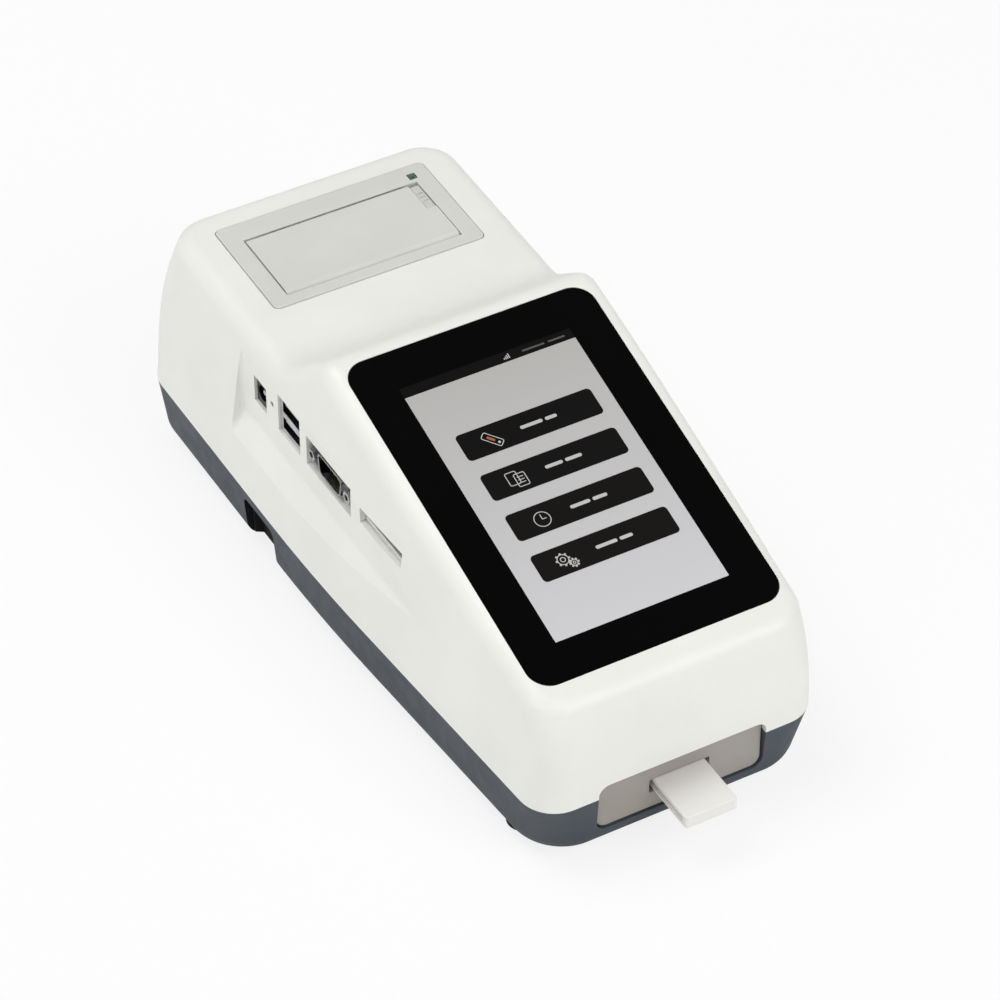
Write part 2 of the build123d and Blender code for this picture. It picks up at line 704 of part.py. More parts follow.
# ---------------------------------------------------------------- front bezel
with BuildPart() as front_bezel:
    with BuildSketch(Plane.XZ.offset(-BEZEL_Y)):
        with Locations((0, BEZEL_Z)):
            RectangleRounded(BEZEL_WIDTH, BEZEL_HEIGHT, BEZEL_CORNER)
    extrude(amount=-BEZEL_THICK)
    fillet(front_bezel.faces().sort_by(Axis.Y)[0].edges(), 0.5)
    with BuildSketch(Plane.XZ.offset(-BEZEL_Y - BEZEL_THICK)):
        with Locations((0, BEZEL_Z)):
            RectangleRounded(BEZEL_WIDTH + 2 * BEZEL_LAP, BEZEL_HEIGHT + 2 * BEZEL_LAP, BEZEL_CORNER)
    extrude(amount=-BEZEL_FLANGE)
    with BuildSketch(Plane.XZ.offset(-BEZEL_Y)):
        with Locations((0, TRAY_Z + TRAY_THICK / 2)):
            RectangleRounded(SLOT_WIDTH, SLOT_HEIGHT, 0.5)
    extrude(amount=-BEZEL_THICK - BEZEL_FLANGE, mode=Mode.SUBTRACT)
save(front_bezel, "front_bezel")

# ---------------------------------------------------------------- display
with BuildPart() as cover_glass:
    with BuildSketch(SCREEN.offset(-SEAT_DEPTH + RUN)):
        with Locations((0, GLASS_SHIFT)):
            RectangleRounded(GLASS_WIDTH, GLASS_LENGTH, GLASS_CORNER)
    extrude(amount=SEAT_DEPTH - RUN)
save(cover_glass, "cover_glass")

with BuildPart() as lcd_panel:
    half_width = LCD_WIDTH / 2
    half_length = LCD_LENGTH / 2
    block(
        (-half_width, half_width),
        (GLASS_SHIFT - half_length, GLASS_SHIFT + half_length),
        (LCD_BASE, LCD_TOP),
        SCREEN,
    )
    block(
        (-half_width + 4.0, half_width - 4.0),
        (GLASS_SHIFT - half_length + 4.0, GLASS_SHIFT + half_length - 4.0),
        (LCD_BASE, LCD_BASE + 0.4),
        SCREEN,
        Mode.SUBTRACT,
    )
save(lcd_panel, "lcd_panel")

with BuildPart() as display_frame:
    with BuildSketch(SCREEN.offset(LCD_BASE - RUN)):
        with Locations((0, GLASS_SHIFT)):
            RectangleRounded(BRACKET_WIDTH, BRACKET_LENGTH, 4.0)
            RectangleRounded(40.0, BRACKET_LENGTH - 40.0, 4.0, mode=Mode.SUBTRACT)
        for x, s in POST_PLACES:
            with Locations((x, s)):
                Circle(1.3, mode=Mode.SUBTRACT)
    extrude(amount=-BRACKET_THICK)
    for x in (-1, 1):
        for s in (-1, 1):
            place = (x * (DRIVER_WIDTH / 2 - 4.0), s * (DRIVER_LENGTH / 2 - 4.0))
            rod(2.5, place[0], place[1], (DRIVER_TOP, BRACKET_BASE + 0.4), SCREEN)
            rod(0.9, place[0], place[1], (DRIVER_TOP - 1.0, BRACKET_BASE - 0.4), SCREEN, Mode.SUBTRACT)
save(display_frame, "display_frame")

with BuildPart() as display_screws:
    for x, s in POST_PLACES:
        rod(0.85, x, s, (BRACKET_BASE - 0.5, LCD_BASE + 2.2), SCREEN)
        rod(1.9, x, s, (BRACKET_BASE - RUN - 1.3, BRACKET_BASE - 2 * RUN), SCREEN)
    for x in (-1, 1):
        for s in (-1, 1):
            place = (x * (DRIVER_WIDTH / 2 - 4.0), s * (DRIVER_LENGTH / 2 - 4.0))
            low = DRIVER_TOP - RUN - BOARD_THICK
            rod(0.85, place[0], place[1], (low - 0.5, DRIVER_TOP + 2.5), SCREEN)
            rod(1.9, place[0], place[1], (low - 1.4, low - RUN), SCREEN)
save(display_screws, "display_screws")

with BuildPart() as display_board:
    low = DRIVER_TOP - RUN - BOARD_THICK
    half_width = DRIVER_WIDTH / 2
    half_length = DRIVER_LENGTH / 2
    block((-half_width, half_width), (-half_length, half_length), (low, low + BOARD_THICK), SCREEN)
    for x in (-1, 1):
        for s in (-1, 1):
            rod(
                1.1,
                x * (half_width - 4.0),
                s * (half_length - 4.0),
                (low - 1.0, low + 3.0),
                SCREEN,
                Mode.SUBTRACT,
            )
    block((-7.0, 7.0), (-9.0, 5.0), (low - 1.4, low), SCREEN)
    block((14.0, 24.0), (-20.0, -12.0), (low - 1.0, low), SCREEN)
    block((-24.0, -14.0), (10.0, 22.0), (low - 1.0, low), SCREEN)
    block((-12.0, 12.0), (half_length - 9.0, half_length - 4.0), (low - 2.0, low), SCREEN)
save(display_board, "display_board")

# ---------------------------------------------------------------- printer frame, lid and roller
with BuildPart() as printer_frame:
    with BuildSketch(DECK.offset(COVER_SEAT + RUN)):
        RectangleRounded(COVER_WIDTH, COVER_LENGTH, COVER_CORNER - 0.3)
    extrude(amount=COVER_PROUD - COVER_SEAT - RUN)
    fillet(
        printer_frame.faces().filter_by(
            lambda face: face.normal_at().Z > 0.9,
        ).sort_by(Axis.Z)[-1].edges(),
        0.35,
    )
    block(
        (-BUCKET_X - BUCKET_WALL, BUCKET_X + BUCKET_WALL),
        (BUCKET_FRONT - BUCKET_WALL, HEAD_WALL + BUCKET_WALL), (-BUCKET_DEPTH, COVER_SEAT + 1.0), DECK,
    )
    block(
        (-BUCKET_X, BUCKET_X),
        (BUCKET_FRONT, HEAD_WALL),
        (-BUCKET_DEPTH + BUCKET_WALL, COVER_SEAT - 2.0),
        DECK,
        Mode.SUBTRACT,
    )
    block((-BUCKET_X, BUCKET_X), (BUCKET_FRONT, BUCKET_REAR), (-12.0, 5.0), DECK, Mode.SUBTRACT)
    # shelf and guide of the latch
    block(
        (LATCH_X[0], BUCKET_X + 0.5),
        (LATCH_Y[0] - 1.4, LATCH_Y[1] + 1.4),
        (LATCH_SHELF - 1.2, LATCH_SHELF),
        DECK,
    )
    for y in (LATCH_Y[0] - 1.4, LATCH_Y[1] + LATCH_GAP):
        block((LATCH_X[0], BUCKET_X + 0.5), (y, y + 1.2), (LATCH_SHELF - 1.2, -2.6), DECK)
    # bores of the hinge pin, the head pivot, the idler and the motor shaft, and the lamp window
    with Locations(DECK_SIDE.location * Location((HINGE_Y, HINGE_Z, 0))):
        Cylinder(PIN_RADIUS + RUN, 2 * (BUCKET_X + BUCKET_WALL) - 0.8, mode=Mode.SUBTRACT)
    with Locations(DECK.location * Location((LAMP_PLACE[0], LAMP_PLACE[1], 0))):
        Box(LAMP_SIZE + 0.1, LAMP_SIZE + 0.1, 4.0, mode=Mode.SUBTRACT)
    for x in (-1, 1):
        for y in (-1, 1):
            rod(
                0.85,
                x * (COVER_WIDTH / 2 - 2.1),
                y * (COVER_LENGTH / 2 - 8.0),
                (-3.0, -0.3),
                DECK,
                Mode.SUBTRACT,
            )


def gear(teeth, module, addendum, thinning):
    """Spur gear outline with involute flanks and a tooth on its X axis."""
    pitch_radius = module * teeth / 2
    base_radius = pitch_radius * cos(radians(20))
    tip_radius = pitch_radius + addendum
    root_radius = pitch_radius - addendum - 0.25 * module
    involute = tan(radians(20)) - radians(20)
    half_tooth = pi / (2 * teeth) - thinning / (2 * pitch_radius) + involute
    flank = []
    for step in range(5):
        start = max(base_radius, root_radius)
        radius = start + (tip_radius - start) * step / 4
        pressure = acos(min(1.0, base_radius / radius))
        flank.append((radius, half_tooth - (tan(pressure) - pressure)))
    inner = (root_radius - 0.1 * module, flank[0][1])
    side = [inner] + flank
    points = [(radius * cos(angle), radius * sin(angle)) for radius, angle in side]
    mirror_points = [(x, -y) for x, y in reversed(points)]
    with BuildSketch() as tooth:
        with BuildLine():
            Polyline(*points, *mirror_points, close=True)
        make_face()
    with BuildSketch() as outline:
        Circle(root_radius)
        with PolarLocations(0, teeth):
            add(tooth.sketch)
    return outline.sketch


def train_place(start, angle, teeth_sum):
    """Centre of the next wheel of the printer's gear train."""
    reach = GEAR_MODULE * teeth_sum / 2
    return (start[0] + reach * cos(radians(angle)), start[1] + reach * sin(radians(angle)))


PLATEN_PLACE = (PLATEN_Y, PLATEN_Z)
IDLER_PLACE = train_place(PLATEN_PLACE, IDLER_ANGLE, PLATEN_TEETH + IDLER_TEETH)
MOTOR_PLACE = train_place(IDLER_PLACE, MOTOR_ANGLE, IDLER_TEETH + MOTOR_TEETH)
TRAIN_X = (GEAR_X - GEAR_FACE, GEAR_X)
TOOTH_HEIGHT = 0.7 * GEAR_MODULE
TOOTH_PLAY = 0.06


def wheel(teeth, place, turn):
    """Wheel of the printer's gear train, turned about its own axis."""
    with BuildSketch(DECK_SIDE.offset(TRAIN_X[0])) as outline:
        with Locations(Location((place[0], place[1], 0), (0, 0, turn))):
            add(gear(teeth, GEAR_MODULE, TOOTH_HEIGHT, TOOTH_PLAY))
    return outline.sketch


# each wheel is turned so that a gap of one faces a tooth of the next on their line of centres
PLATEN_TURN = IDLER_ANGLE
IDLER_TURN = IDLER_ANGLE + 180.0 + 180.0 / IDLER_TEETH
idler_pitch = 360.0 / IDLER_TEETH
idler_phase = ((MOTOR_ANGLE - IDLER_TURN) / idler_pitch) % 1.0
MOTOR_TURN = MOTOR_ANGLE + 180.0 + (0.5 + idler_phase) * 360.0 / MOTOR_TEETH

with BuildPart() as frame_holes:
    with Locations(DECK_SIDE.location * Location((IDLER_PLACE[0], IDLER_PLACE[1], -BUCKET_X - 0.5))):
        Cylinder(1.5 + RUN, BUCKET_WALL, mode=Mode.ADD)
    with Locations(DECK_SIDE.location * Location((MOTOR_PLACE[0], MOTOR_PLACE[1], -BUCKET_X - 1.0))):
        Cylinder(1.0 + 0.2, BUCKET_WALL + 1.0, mode=Mode.ADD)

with BuildPart(mode=Mode.PRIVATE) as finished_frame:
    add(printer_frame.part)
    add(frame_holes.part, mode=Mode.SUBTRACT)
    # pivots of the print head in the side walls
    for side in (-1, 1):
        with Locations(
            DECK_SIDE.location * Location(
                (HEAD_Y + 1.5, HEAD_TOP - HEAD_HEIGHT, side * (BUCKET_X + 0.4)),
            ),
        ):
            Cylinder(1.0 + RUN, 1.6, mode=Mode.SUBTRACT)
save(finished_frame, "printer_frame")

with BuildPart() as printer_lid:
    with BuildSketch(DECK_SIDE.offset(-LID_WIDTH / 2)):
        with BuildLine():
            Line((HINGE_Y, LID_TOP), (LID_BACK - 0.4, LID_TOP))
            ThreePointArc(
                (LID_BACK - 0.4, LID_TOP), (LID_BACK - 0.12, LID_TOP - 0.12), (LID_BACK, LID_TOP - 0.4),
            )
            Line((LID_BACK, LID_TOP - 0.4), (LID_BACK, LID_TOP - LID_THICK))
            Line((LID_BACK, LID_TOP - LID_THICK), (HINGE_Y + HINGE_RADIUS, LID_TOP - LID_THICK))
            Line((HINGE_Y + HINGE_RADIUS, LID_TOP - LID_THICK), (HINGE_Y + HINGE_RADIUS, HINGE_Z))
            ThreePointArc(
                (HINGE_Y + HINGE_RADIUS, HINGE_Z), (
                    HINGE_Y - HINGE_RADIUS * sin(radians(45)),
                    HINGE_Z - HINGE_RADIUS * cos(radians(45)),
                ),
                (HINGE_Y - HINGE_RADIUS, HINGE_Z),
            )
            ThreePointArc(
                (HINGE_Y - HINGE_RADIUS, HINGE_Z), (
                    HINGE_Y - HINGE_RADIUS * sin(radians(45)),
                    HINGE_Z + HINGE_RADIUS * cos(radians(45)),
                ),
                (HINGE_Y, LID_TOP),
            )
        make_face()
    extrude(amount=LID_WIDTH)
    # cheeks that carry the roller
    for side in (-1, 1):
        start = CHEEK_X if side > 0 else -CHEEK_X - CHEEK_THICK
        with BuildSketch(DECK_SIDE.offset(start)):
            with BuildLine():
                Polyline(
                    (PLATEN_Y - 6.0, LID_TOP - LID_THICK + 0.5), (PLATEN_Y - 3.0, PLATEN_Z - 1.0),
                    (PLATEN_Y, PLATEN_Z - 2.6), (PLATEN_Y + 3.0, PLATEN_Z - 1.0),
                    (PLATEN_Y + 5.0, LID_TOP - LID_THICK + 0.5), close=True,
                )
            make_face()
        extrude(amount=CHEEK_THICK)
    with Locations(DECK_SIDE.location * Location((PLATEN_Y, PLATEN_Z, 0))):
        Cylinder(1.2 + RUN, 2 * CHEEK_X + 4 * CHEEK_THICK, mode=Mode.SUBTRACT)
    with Locations(DECK_SIDE.location * Location((HINGE_Y, HINGE_Z, 0))):
        Cylinder(PIN_RADIUS + 2 * RUN, LID_WIDTH + 2.0, mode=Mode.SUBTRACT)
    block(
        (LATCH_X[0] - LATCH_GAP, BUCKET_X + 2.0), (LATCH_Y[0] - LATCH_GAP, LATCH_Y[1] + 5.0),
        (LATCH_BASE - 2.0, LID_TOP + 2.0), DECK, Mode.SUBTRACT,
    )
save(printer_lid, "printer_lid")

with BuildPart() as lid_hinge_pin:
    with Locations(DECK_SIDE.location * Location((HINGE_Y, HINGE_Z, 0))):
        Cylinder(PIN_RADIUS, 2 * (BUCKET_X + BUCKET_WALL) - 1.0)
save(lid_hinge_pin, "lid_hinge_pin")

with BuildPart() as platen_roller:
    with Locations(DECK_SIDE.location * Location((PLATEN_Y, PLATEN_Z, 0))):
        Cylinder(PLATEN_RADIUS, PAPER_WIDTH)
    with Locations(
        DECK_SIDE.location * Location(
            (PLATEN_Y, PLATEN_Z, (GEAR_X - GEAR_FACE + CHEEK_X + CHEEK_THICK) / 2),
        ),
    ):
        Cylinder(1.2, CHEEK_X + CHEEK_THICK - GEAR_X + GEAR_FACE - 0.2)
save(platen_roller, "platen_roller")

with BuildPart() as platen_gear:
    add(extrude(wheel(PLATEN_TEETH, PLATEN_PLACE, PLATEN_TURN), amount=GEAR_FACE, mode=Mode.PRIVATE))
    with Locations(DECK_SIDE.location * Location((PLATEN_Y, PLATEN_Z, GEAR_X - GEAR_FACE / 2))):
        Cylinder(1.2 + RUN, GEAR_FACE * 2, mode=Mode.SUBTRACT)
save(platen_gear, "platen_gear")

with BuildPart() as idler_gear:
    add(extrude(wheel(IDLER_TEETH, IDLER_PLACE, IDLER_TURN), amount=GEAR_FACE, mode=Mode.PRIVATE))
    with Locations(
        DECK_SIDE.location * Location((IDLER_PLACE[0], IDLER_PLACE[1], (GEAR_X - BUCKET_X - 1.2) / 2)),
    ):
        Cylinder(1.5, GEAR_X + BUCKET_X + 1.2)
save(idler_gear, "idler_gear")

with BuildPart() as motor_pinion:
    add(extrude(wheel(MOTOR_TEETH, MOTOR_PLACE, MOTOR_TURN), amount=GEAR_FACE, mode=Mode.PRIVATE))
    with Locations(
        DECK_SIDE.location * Location(
            (MOTOR_PLACE[0], MOTOR_PLACE[1], (GEAR_X - BUCKET_X - BUCKET_WALL - 6.0) / 2),
        ),
    ):
        Cylinder(1.0, GEAR_X + BUCKET_X + BUCKET_WALL + 6.0)
save(motor_pinion, "motor_pinion")

with BuildPart() as printer_motor:
    start = -BUCKET_X - BUCKET_WALL - RUN
    with Locations(
        DECK_SIDE.location * Location((MOTOR_PLACE[0], MOTOR_PLACE[1], start - PRINT_MOTOR_LENGTH / 2)),
    ):
        Cylinder(PRINT_MOTOR_RADIUS, PRINT_MOTOR_LENGTH)
    fillet(printer_motor.edges().group_by(Axis.X)[0], 0.8)
    block(
        (start - 1.0, start), (MOTOR_PLACE[0] - 9.0, MOTOR_PLACE[0] + 9.0),
        (MOTOR_PLACE[1] - 3.0, MOTOR_PLACE[1] + 3.0), DECK,
    )
    with Locations(DECK_SIDE.location * Location((MOTOR_PLACE[0], MOTOR_PLACE[1], start - 3.0))):
        Cylinder(1.0 + RUN, 6.4, mode=Mode.SUBTRACT)
save(printer_motor, "printer_motor")

with BuildPart() as print_head:
    head_base = HEAD_TOP - HEAD_HEIGHT
    block((-PAPER_WIDTH / 2, PAPER_WIDTH / 2), (HEAD_Y, HEAD_Y + 0.8), (head_base, HEAD_TOP), DECK)
    block(
        (-PAPER_WIDTH / 2 + 1.0, PAPER_WIDTH / 2 - 1.0),
        (HEAD_Y + 0.8, HEAD_BACK),
        (head_base + 0.6, HEAD_TOP - 1.0),
        DECK,
    )
    for row in range(3):
        z = head_base + 2.6 + 2.4 * row
        block(
            (-PAPER_WIDTH / 2 + 1.0, PAPER_WIDTH / 2 - 1.0),
            (HEAD_BACK - 1.0, HEAD_BACK),
            (z, z + 1.0),
            DECK,
            Mode.SUBTRACT,
        )
    with Locations(DECK_SIDE.location * Location((HEAD_Y + 1.5, head_base, 0))):
        Cylinder(1.0, 2 * BUCKET_X + 2.0)
save(print_head, "print_head")


def coil_spring(start, direction, height, radius, pitch):
    """Compression spring from a seat point along a direction."""
    with BuildPart() as spring:
        with BuildLine():
            coil = Helix(pitch=pitch, height=height, radius=radius, center=start, direction=direction)
        with BuildSketch(Plane(origin=coil @ 0, z_dir=coil % 0)):
            Circle(0.2)
        sweep(path=coil)
    return spring.part


with BuildPart() as head_springs:
    for side in (-1, 1):
        seat = DECK.from_local_coords(Vector(side * 18.0, HEAD_BACK + 0.3, HEAD_TOP - 3.0))
        add(coil_spring(seat, DECK.y_dir, HEAD_ROOM - 0.6, 1.4, 0.62))
save(head_springs, "head_springs")

with BuildPart() as tear_bar:
    with BuildSketch(DECK.offset(COVER_SEAT + 0.2)):
        half = PAPER_WIDTH / 2
        with Locations((0, BUCKET_REAR - 0.30)):
            Rectangle(2 * half, 0.45)
        for step in range(int(half)):
            with Locations((2.0 * step - half + 1.0, BUCKET_REAR - 0.5)):
                Triangle(a=1.2, b=0.8, c=0.8)
    extrude(amount=COVER_PROUD - COVER_SEAT - 0.4)
save(tear_bar, "tear_bar")

with BuildPart() as lid_latch:
    block(LATCH_X, LATCH_Y, (LATCH_BASE, COVER_PROUD), DECK)
    top = lid_latch.faces().filter_by(lambda face: face.normal_at().Z > 0.9).sort_by(Axis.Z)[-1]
    fillet(top.edges(), 0.5)
    for row in range(3):
        y = LATCH_Y[0] + 4.0 + 2.2 * row
        block(
            (LATCH_X[0] + 0.8, LATCH_X[1] - 0.8),
            (y, y + 0.7),
            (COVER_PROUD - 0.3, COVER_PROUD + 1.0),
            DECK,
            Mode.SUBTRACT,
        )
save(lid_latch, "lid_latch")

with BuildPart() as latch_spring:
    seat = DECK.from_local_coords(Vector(sum(LATCH_X) / 2, sum(LATCH_Y) / 2, LATCH_SHELF + 0.3))
    add(coil_spring(seat, DECK.z_dir, LATCH_BASE - LATCH_SHELF - 0.6, 1.2, 0.85))
save(latch_spring, "latch_spring")

with BuildPart() as status_lamp:
    block(
        (LAMP_PLACE[0] - LAMP_SIZE / 2, LAMP_PLACE[0] + LAMP_SIZE / 2),
        (
            LAMP_PLACE[1] - LAMP_SIZE / 2, LAMP_PLACE[1] + LAMP_SIZE / 2,
        ), (COVER_SEAT + 0.2, COVER_PROUD + 0.1), DECK,
    )
save(status_lamp, "status_lamp")

with BuildPart() as cover_screws:
    for x in (-1, 1):
        for y in (-1, 1):
            place = (x * (COVER_WIDTH / 2 - 2.1), y * (COVER_LENGTH / 2 - 8.0))
            rod(0.8, place[0], place[1], (-WALL - 0.5, -0.4), DECK)
            rod(1.7, place[0], place[1], (-WALL - 1.3, -WALL - RUN), DECK)
save(cover_screws, "cover_screws")

# ---------------------------------------------------------------- cassette tray and its drive
with BuildPart() as cassette_tray:
    with BuildSketch(Plane.XY.offset(TRAY_Z)):
        with Locations((0, (TRAY_TIP + SHOULDER_Y + 2.0) / 2)):
            RectangleRounded(TAB_WIDTH, TAB_LENGTH + 2.0, 1.2)
        with Locations((0, (SHOULDER_Y + CARRIER_END) / 2)):
            RectangleRounded(TRAY_WIDTH, CARRIER_END - SHOULDER_Y, 0.8)
    extrude(amount=TRAY_THICK)
    fillet(cassette_tray.faces().sort_by(Axis.Y)[0].edges().filter_by(Axis.X), 0.5)
    # side grooves under the thin top of the tab, closed at the tip
    for side in (-1, 1):
        x = (side * (TAB_WIDTH / 2 - 1.2), side * (TAB_WIDTH / 2 + 1.0))
        block(
            (min(x), max(x)), (TRAY_TIP + 2.6, SHOULDER_Y - 1.0),
            (TRAY_Z + 1.4, TRAY_TOP - 1.3), mode=Mode.SUBTRACT,
        )
    # card pocket with finger cuts in its walls
    block(
        (-CARD_WIDTH / 2, CARD_WIDTH / 2), (CARD_START, CARD_START + CARD_LENGTH),
        (TRAY_TOP - CARD_DEPTH, TRAY_TOP + 1.0), mode=Mode.SUBTRACT,
    )
    with Locations(Plane.YZ.location * Location((CARD_START + CARD_LENGTH / 2, TRAY_TOP + 4.0, 0))):
        Cylinder(6.4, TRAY_WIDTH + 2.0, mode=Mode.SUBTRACT)
    # slider on the guide rod and shoulder for the rack
    rack_side = RACK_PITCH_X - 1.25 * RACK_MODULE - 1.7
    block((-ROD_X - 1.0, rack_side - RUN), (CARRIER_Y, CARRIER_END), (TRAY_Z, TRAY_TOP))
    with Locations(Plane.XZ.location * Location((-ROD_X, ROD_Z, -(CARRIER_Y + CARRIER_END) / 2))):
        Cylinder(ROD_RADIUS + 1.5, CARRIER_LENGTH)
        Cylinder(ROD_RADIUS + 0.15, CARRIER_LENGTH + 2.0, mode=Mode.SUBTRACT)
save(cassette_tray, "cassette_tray")

with BuildPart() as tray_rack:
    tooth_pitch = pi * RACK_MODULE
    reach = 0.8 * RACK_MODULE
    root_x = RACK_PITCH_X - 1.05 * RACK_MODULE
    lean = tan(radians(20))
    half_tooth = tooth_pitch / 4 - 0.05
    with BuildSketch(Plane.XY.offset(TRAY_Z + RUN)):
        with Locations(((rack_side + root_x) / 2, CARRIER_Y + RACK_LENGTH / 2)):
            Rectangle(root_x - rack_side, RACK_LENGTH)
        count = int(RACK_LENGTH / tooth_pitch) - 1
        first = int((PINION_Y - CARRIER_Y) / tooth_pitch)
        for step in range(count):
            y = PINION_Y + (step - first + 0.5) * tooth_pitch
            with BuildLine():
                Polyline(
                    (root_x - 0.1, y - half_tooth - (RACK_PITCH_X - root_x + 0.1) * lean),
                    (RACK_PITCH_X + reach, y - half_tooth + reach * lean),
                    (RACK_PITCH_X + reach, y + half_tooth - reach * lean),
                    (root_x - 0.1, y + half_tooth + (RACK_PITCH_X - root_x + 0.1) * lean),
                    close=True,
                )
            make_face()
    extrude(amount=TRAY_THICK - 2 * RUN)
save(tray_rack, "tray_rack")

with BuildPart() as drive_pinion:
    with BuildSketch(Plane.XY.offset(TRAY_Z + 0.3)):
        with Locations((PINION_X, PINION_Y)):
            add(gear(DRIVE_TEETH, RACK_MODULE, 0.8 * RACK_MODULE, 0.1))
    extrude(amount=TRAY_THICK - 0.6)
    rod(2.5, PINION_X, PINION_Y, (TRAY_TOP - 0.4, TRAY_TOP + 1.2))
    rod(1.0, PINION_X, PINION_Y, (TRAY_TOP + 1.0, TRAY_TOP + 15.0))
save(drive_pinion, "drive_pinion")

BRACKET_Z = TRAY_TOP + 3.0
with BuildPart() as motor_bracket:
    reach = TRAY_MOTOR_RADIUS + 1.0
    block(
        (PINION_X - reach, BED_SHELF[0] + 2.0),
        (PINION_Y - reach, PINION_Y + reach),
        (BRACKET_Z, BRACKET_Z + 2.0),
    )
    rod(3.2, PINION_X, PINION_Y, (BRACKET_Z - 1.0, BRACKET_Z + 3.0), mode=Mode.SUBTRACT)
    block(
        (BED_SHELF[0], BED_SHELF[0] + 2.0),
        (PINION_Y - reach, PINION_Y + reach),
        (BED_TOP + RUN, BRACKET_Z + 1.0),
    )
    block(
        (BED_SHELF[0], BED_SHELF[1]),
        (PINION_Y - reach, PINION_Y + reach),
        (BED_TOP + RUN, BED_TOP + 2.0),
    )
    for side in (-1, 1):
        rod(
            1.5,
            BED_SHELF[1] - 3.0,
            PINION_Y + side * 6.0,
            (BED_TOP - 1.0, BED_TOP + 4.0),
            mode=Mode.SUBTRACT,
        )
save(motor_bracket, "motor_bracket")

with BuildPart() as tray_motor:
    base = BRACKET_Z + 2.0 + RUN
    rod(TRAY_MOTOR_RADIUS, PINION_X, PINION_Y, (base, base + TRAY_MOTOR_LENGTH))
    fillet(tray_motor.edges().group_by(Axis.Z)[-1], 1.0)
    rod(2.9, PINION_X, PINION_Y, (BRACKET_Z, base + 0.5))
    block(
        (PINION_X - 3.0, PINION_X + 3.0), (
            PINION_Y + TRAY_MOTOR_RADIUS - 2.0, PINION_Y + TRAY_MOTOR_RADIUS + 2.5,
        ),
        (base + 3.0, base + 9.0),
    )
    rod(1.0 + RUN, PINION_X, PINION_Y, (BRACKET_Z - 1.0, TRAY_TOP + 15.2), mode=Mode.SUBTRACT)
save(tray_motor, "tray_motor")

with BuildPart() as guide_rod:
    with Locations(
        Plane.XZ.location * Location((-ROD_X, ROD_Z, -(BED_FRONT + CARRIER_END + TRAVEL_IN + 5.0) / 2)),
    ):
        Cylinder(ROD_RADIUS, CARRIER_END + TRAVEL_IN + 5.0 - BED_FRONT)
    chamfer(guide_rod.edges(), 0.4)
save(guide_rod, "guide_rod")

with BuildPart() as tray_bed:
    block(BED_X, (BED_FRONT, BED_BACK), (BED_TOP - BED_THICK, BED_TOP))
    shelf_reach = TRAY_MOTOR_RADIUS + 4.0
    block(
        (BED_SHELF[0] - 1.0, BED_SHELF[1]),
        (PINION_Y - shelf_reach, PINION_Y + shelf_reach),
        (BED_TOP - BED_THICK, BED_TOP),
    )
    # runners under the tray and the rack
    block((-4.0, 4.0), (BED_FRONT, BED_BACK - 8.0), (BED_TOP - 0.5, TRAY_Z - 0.2))
    block((rack_side, RACK_PITCH_X - 1.5), (BED_FRONT, BED_BACK), (BED_TOP - 0.5, TRAY_Z - 0.2))
    # blocks that hold the guide rod
    back = CARRIER_END + TRAVEL_IN + 1.2
    for low, high in ((BED_FRONT, BED_FRONT + 3.2), (back, back + 3.8)):
        block((-ROD_X - 4.5, -ROD_X + 3.5), (low, high), (BED_TOP - 0.5, ROD_Z + 4.0))
    with Locations(Plane.XZ.location * Location((-ROD_X, ROD_Z, -(BED_FRONT + back + 3.8) / 2))):
        Cylinder(ROD_RADIUS + RUN, back + 3.8 - BED_FRONT + 1.0, mode=Mode.SUBTRACT)
    for x, y in BED_POSTS:
        rod(1.2, x, y, (BED_TOP - 4.0, BED_TOP + 1.0), mode=Mode.SUBTRACT)
    for side in (-1, 1):
        rod(
            0.95,
            BED_SHELF[1] - 3.0,
            PINION_Y + side * 6.0,
            (BED_TOP - 3.0, BED_TOP + 1.0),
            mode=Mode.SUBTRACT,
        )
    for x in OPTIC_POSTS_X:
        for y in OPTIC_POSTS_Y:
            rod(0.95, x, y, (BED_TOP - 3.0, BED_TOP + 1.0), mode=Mode.SUBTRACT)
save(tray_bed, "tray_bed")

with BuildPart() as bed_screws:
    for x, y in BED_POSTS:
        rod(0.95, x, y, (FLOOR_Z + 3.0, BED_TOP + 0.5))
        rod(2.0, x, y, (BED_TOP + RUN, BED_TOP + 1.4))
    for side in (-1, 1):
        y = PINION_Y + side * 6.0
        rod(0.9, BED_SHELF[1] - 3.0, y, (BED_TOP - 1.8, BED_TOP + 2.5))
        rod(2.0, BED_SHELF[1] - 3.0, y, (BED_TOP + 2.0 + RUN, BED_TOP + 3.4))
save(bed_screws, "bed_screws")

with BuildPart() as home_switch:
    y = CARRIER_END + TRAVEL_IN + 1.2
    block((-9.0, -1.0), (y + 1.2, y + 6.4), (BED_TOP + RUN, BED_TOP + 6.0))
    block((-8.0, -2.0), (y, y + 0.4), (BED_TOP + 3.0, BED_TOP + 4.6))
    block((-8.0, -6.8), (y + 0.1, y + 1.6), (BED_TOP + 3.0, BED_TOP + 4.6))
save(home_switch, "home_switch")

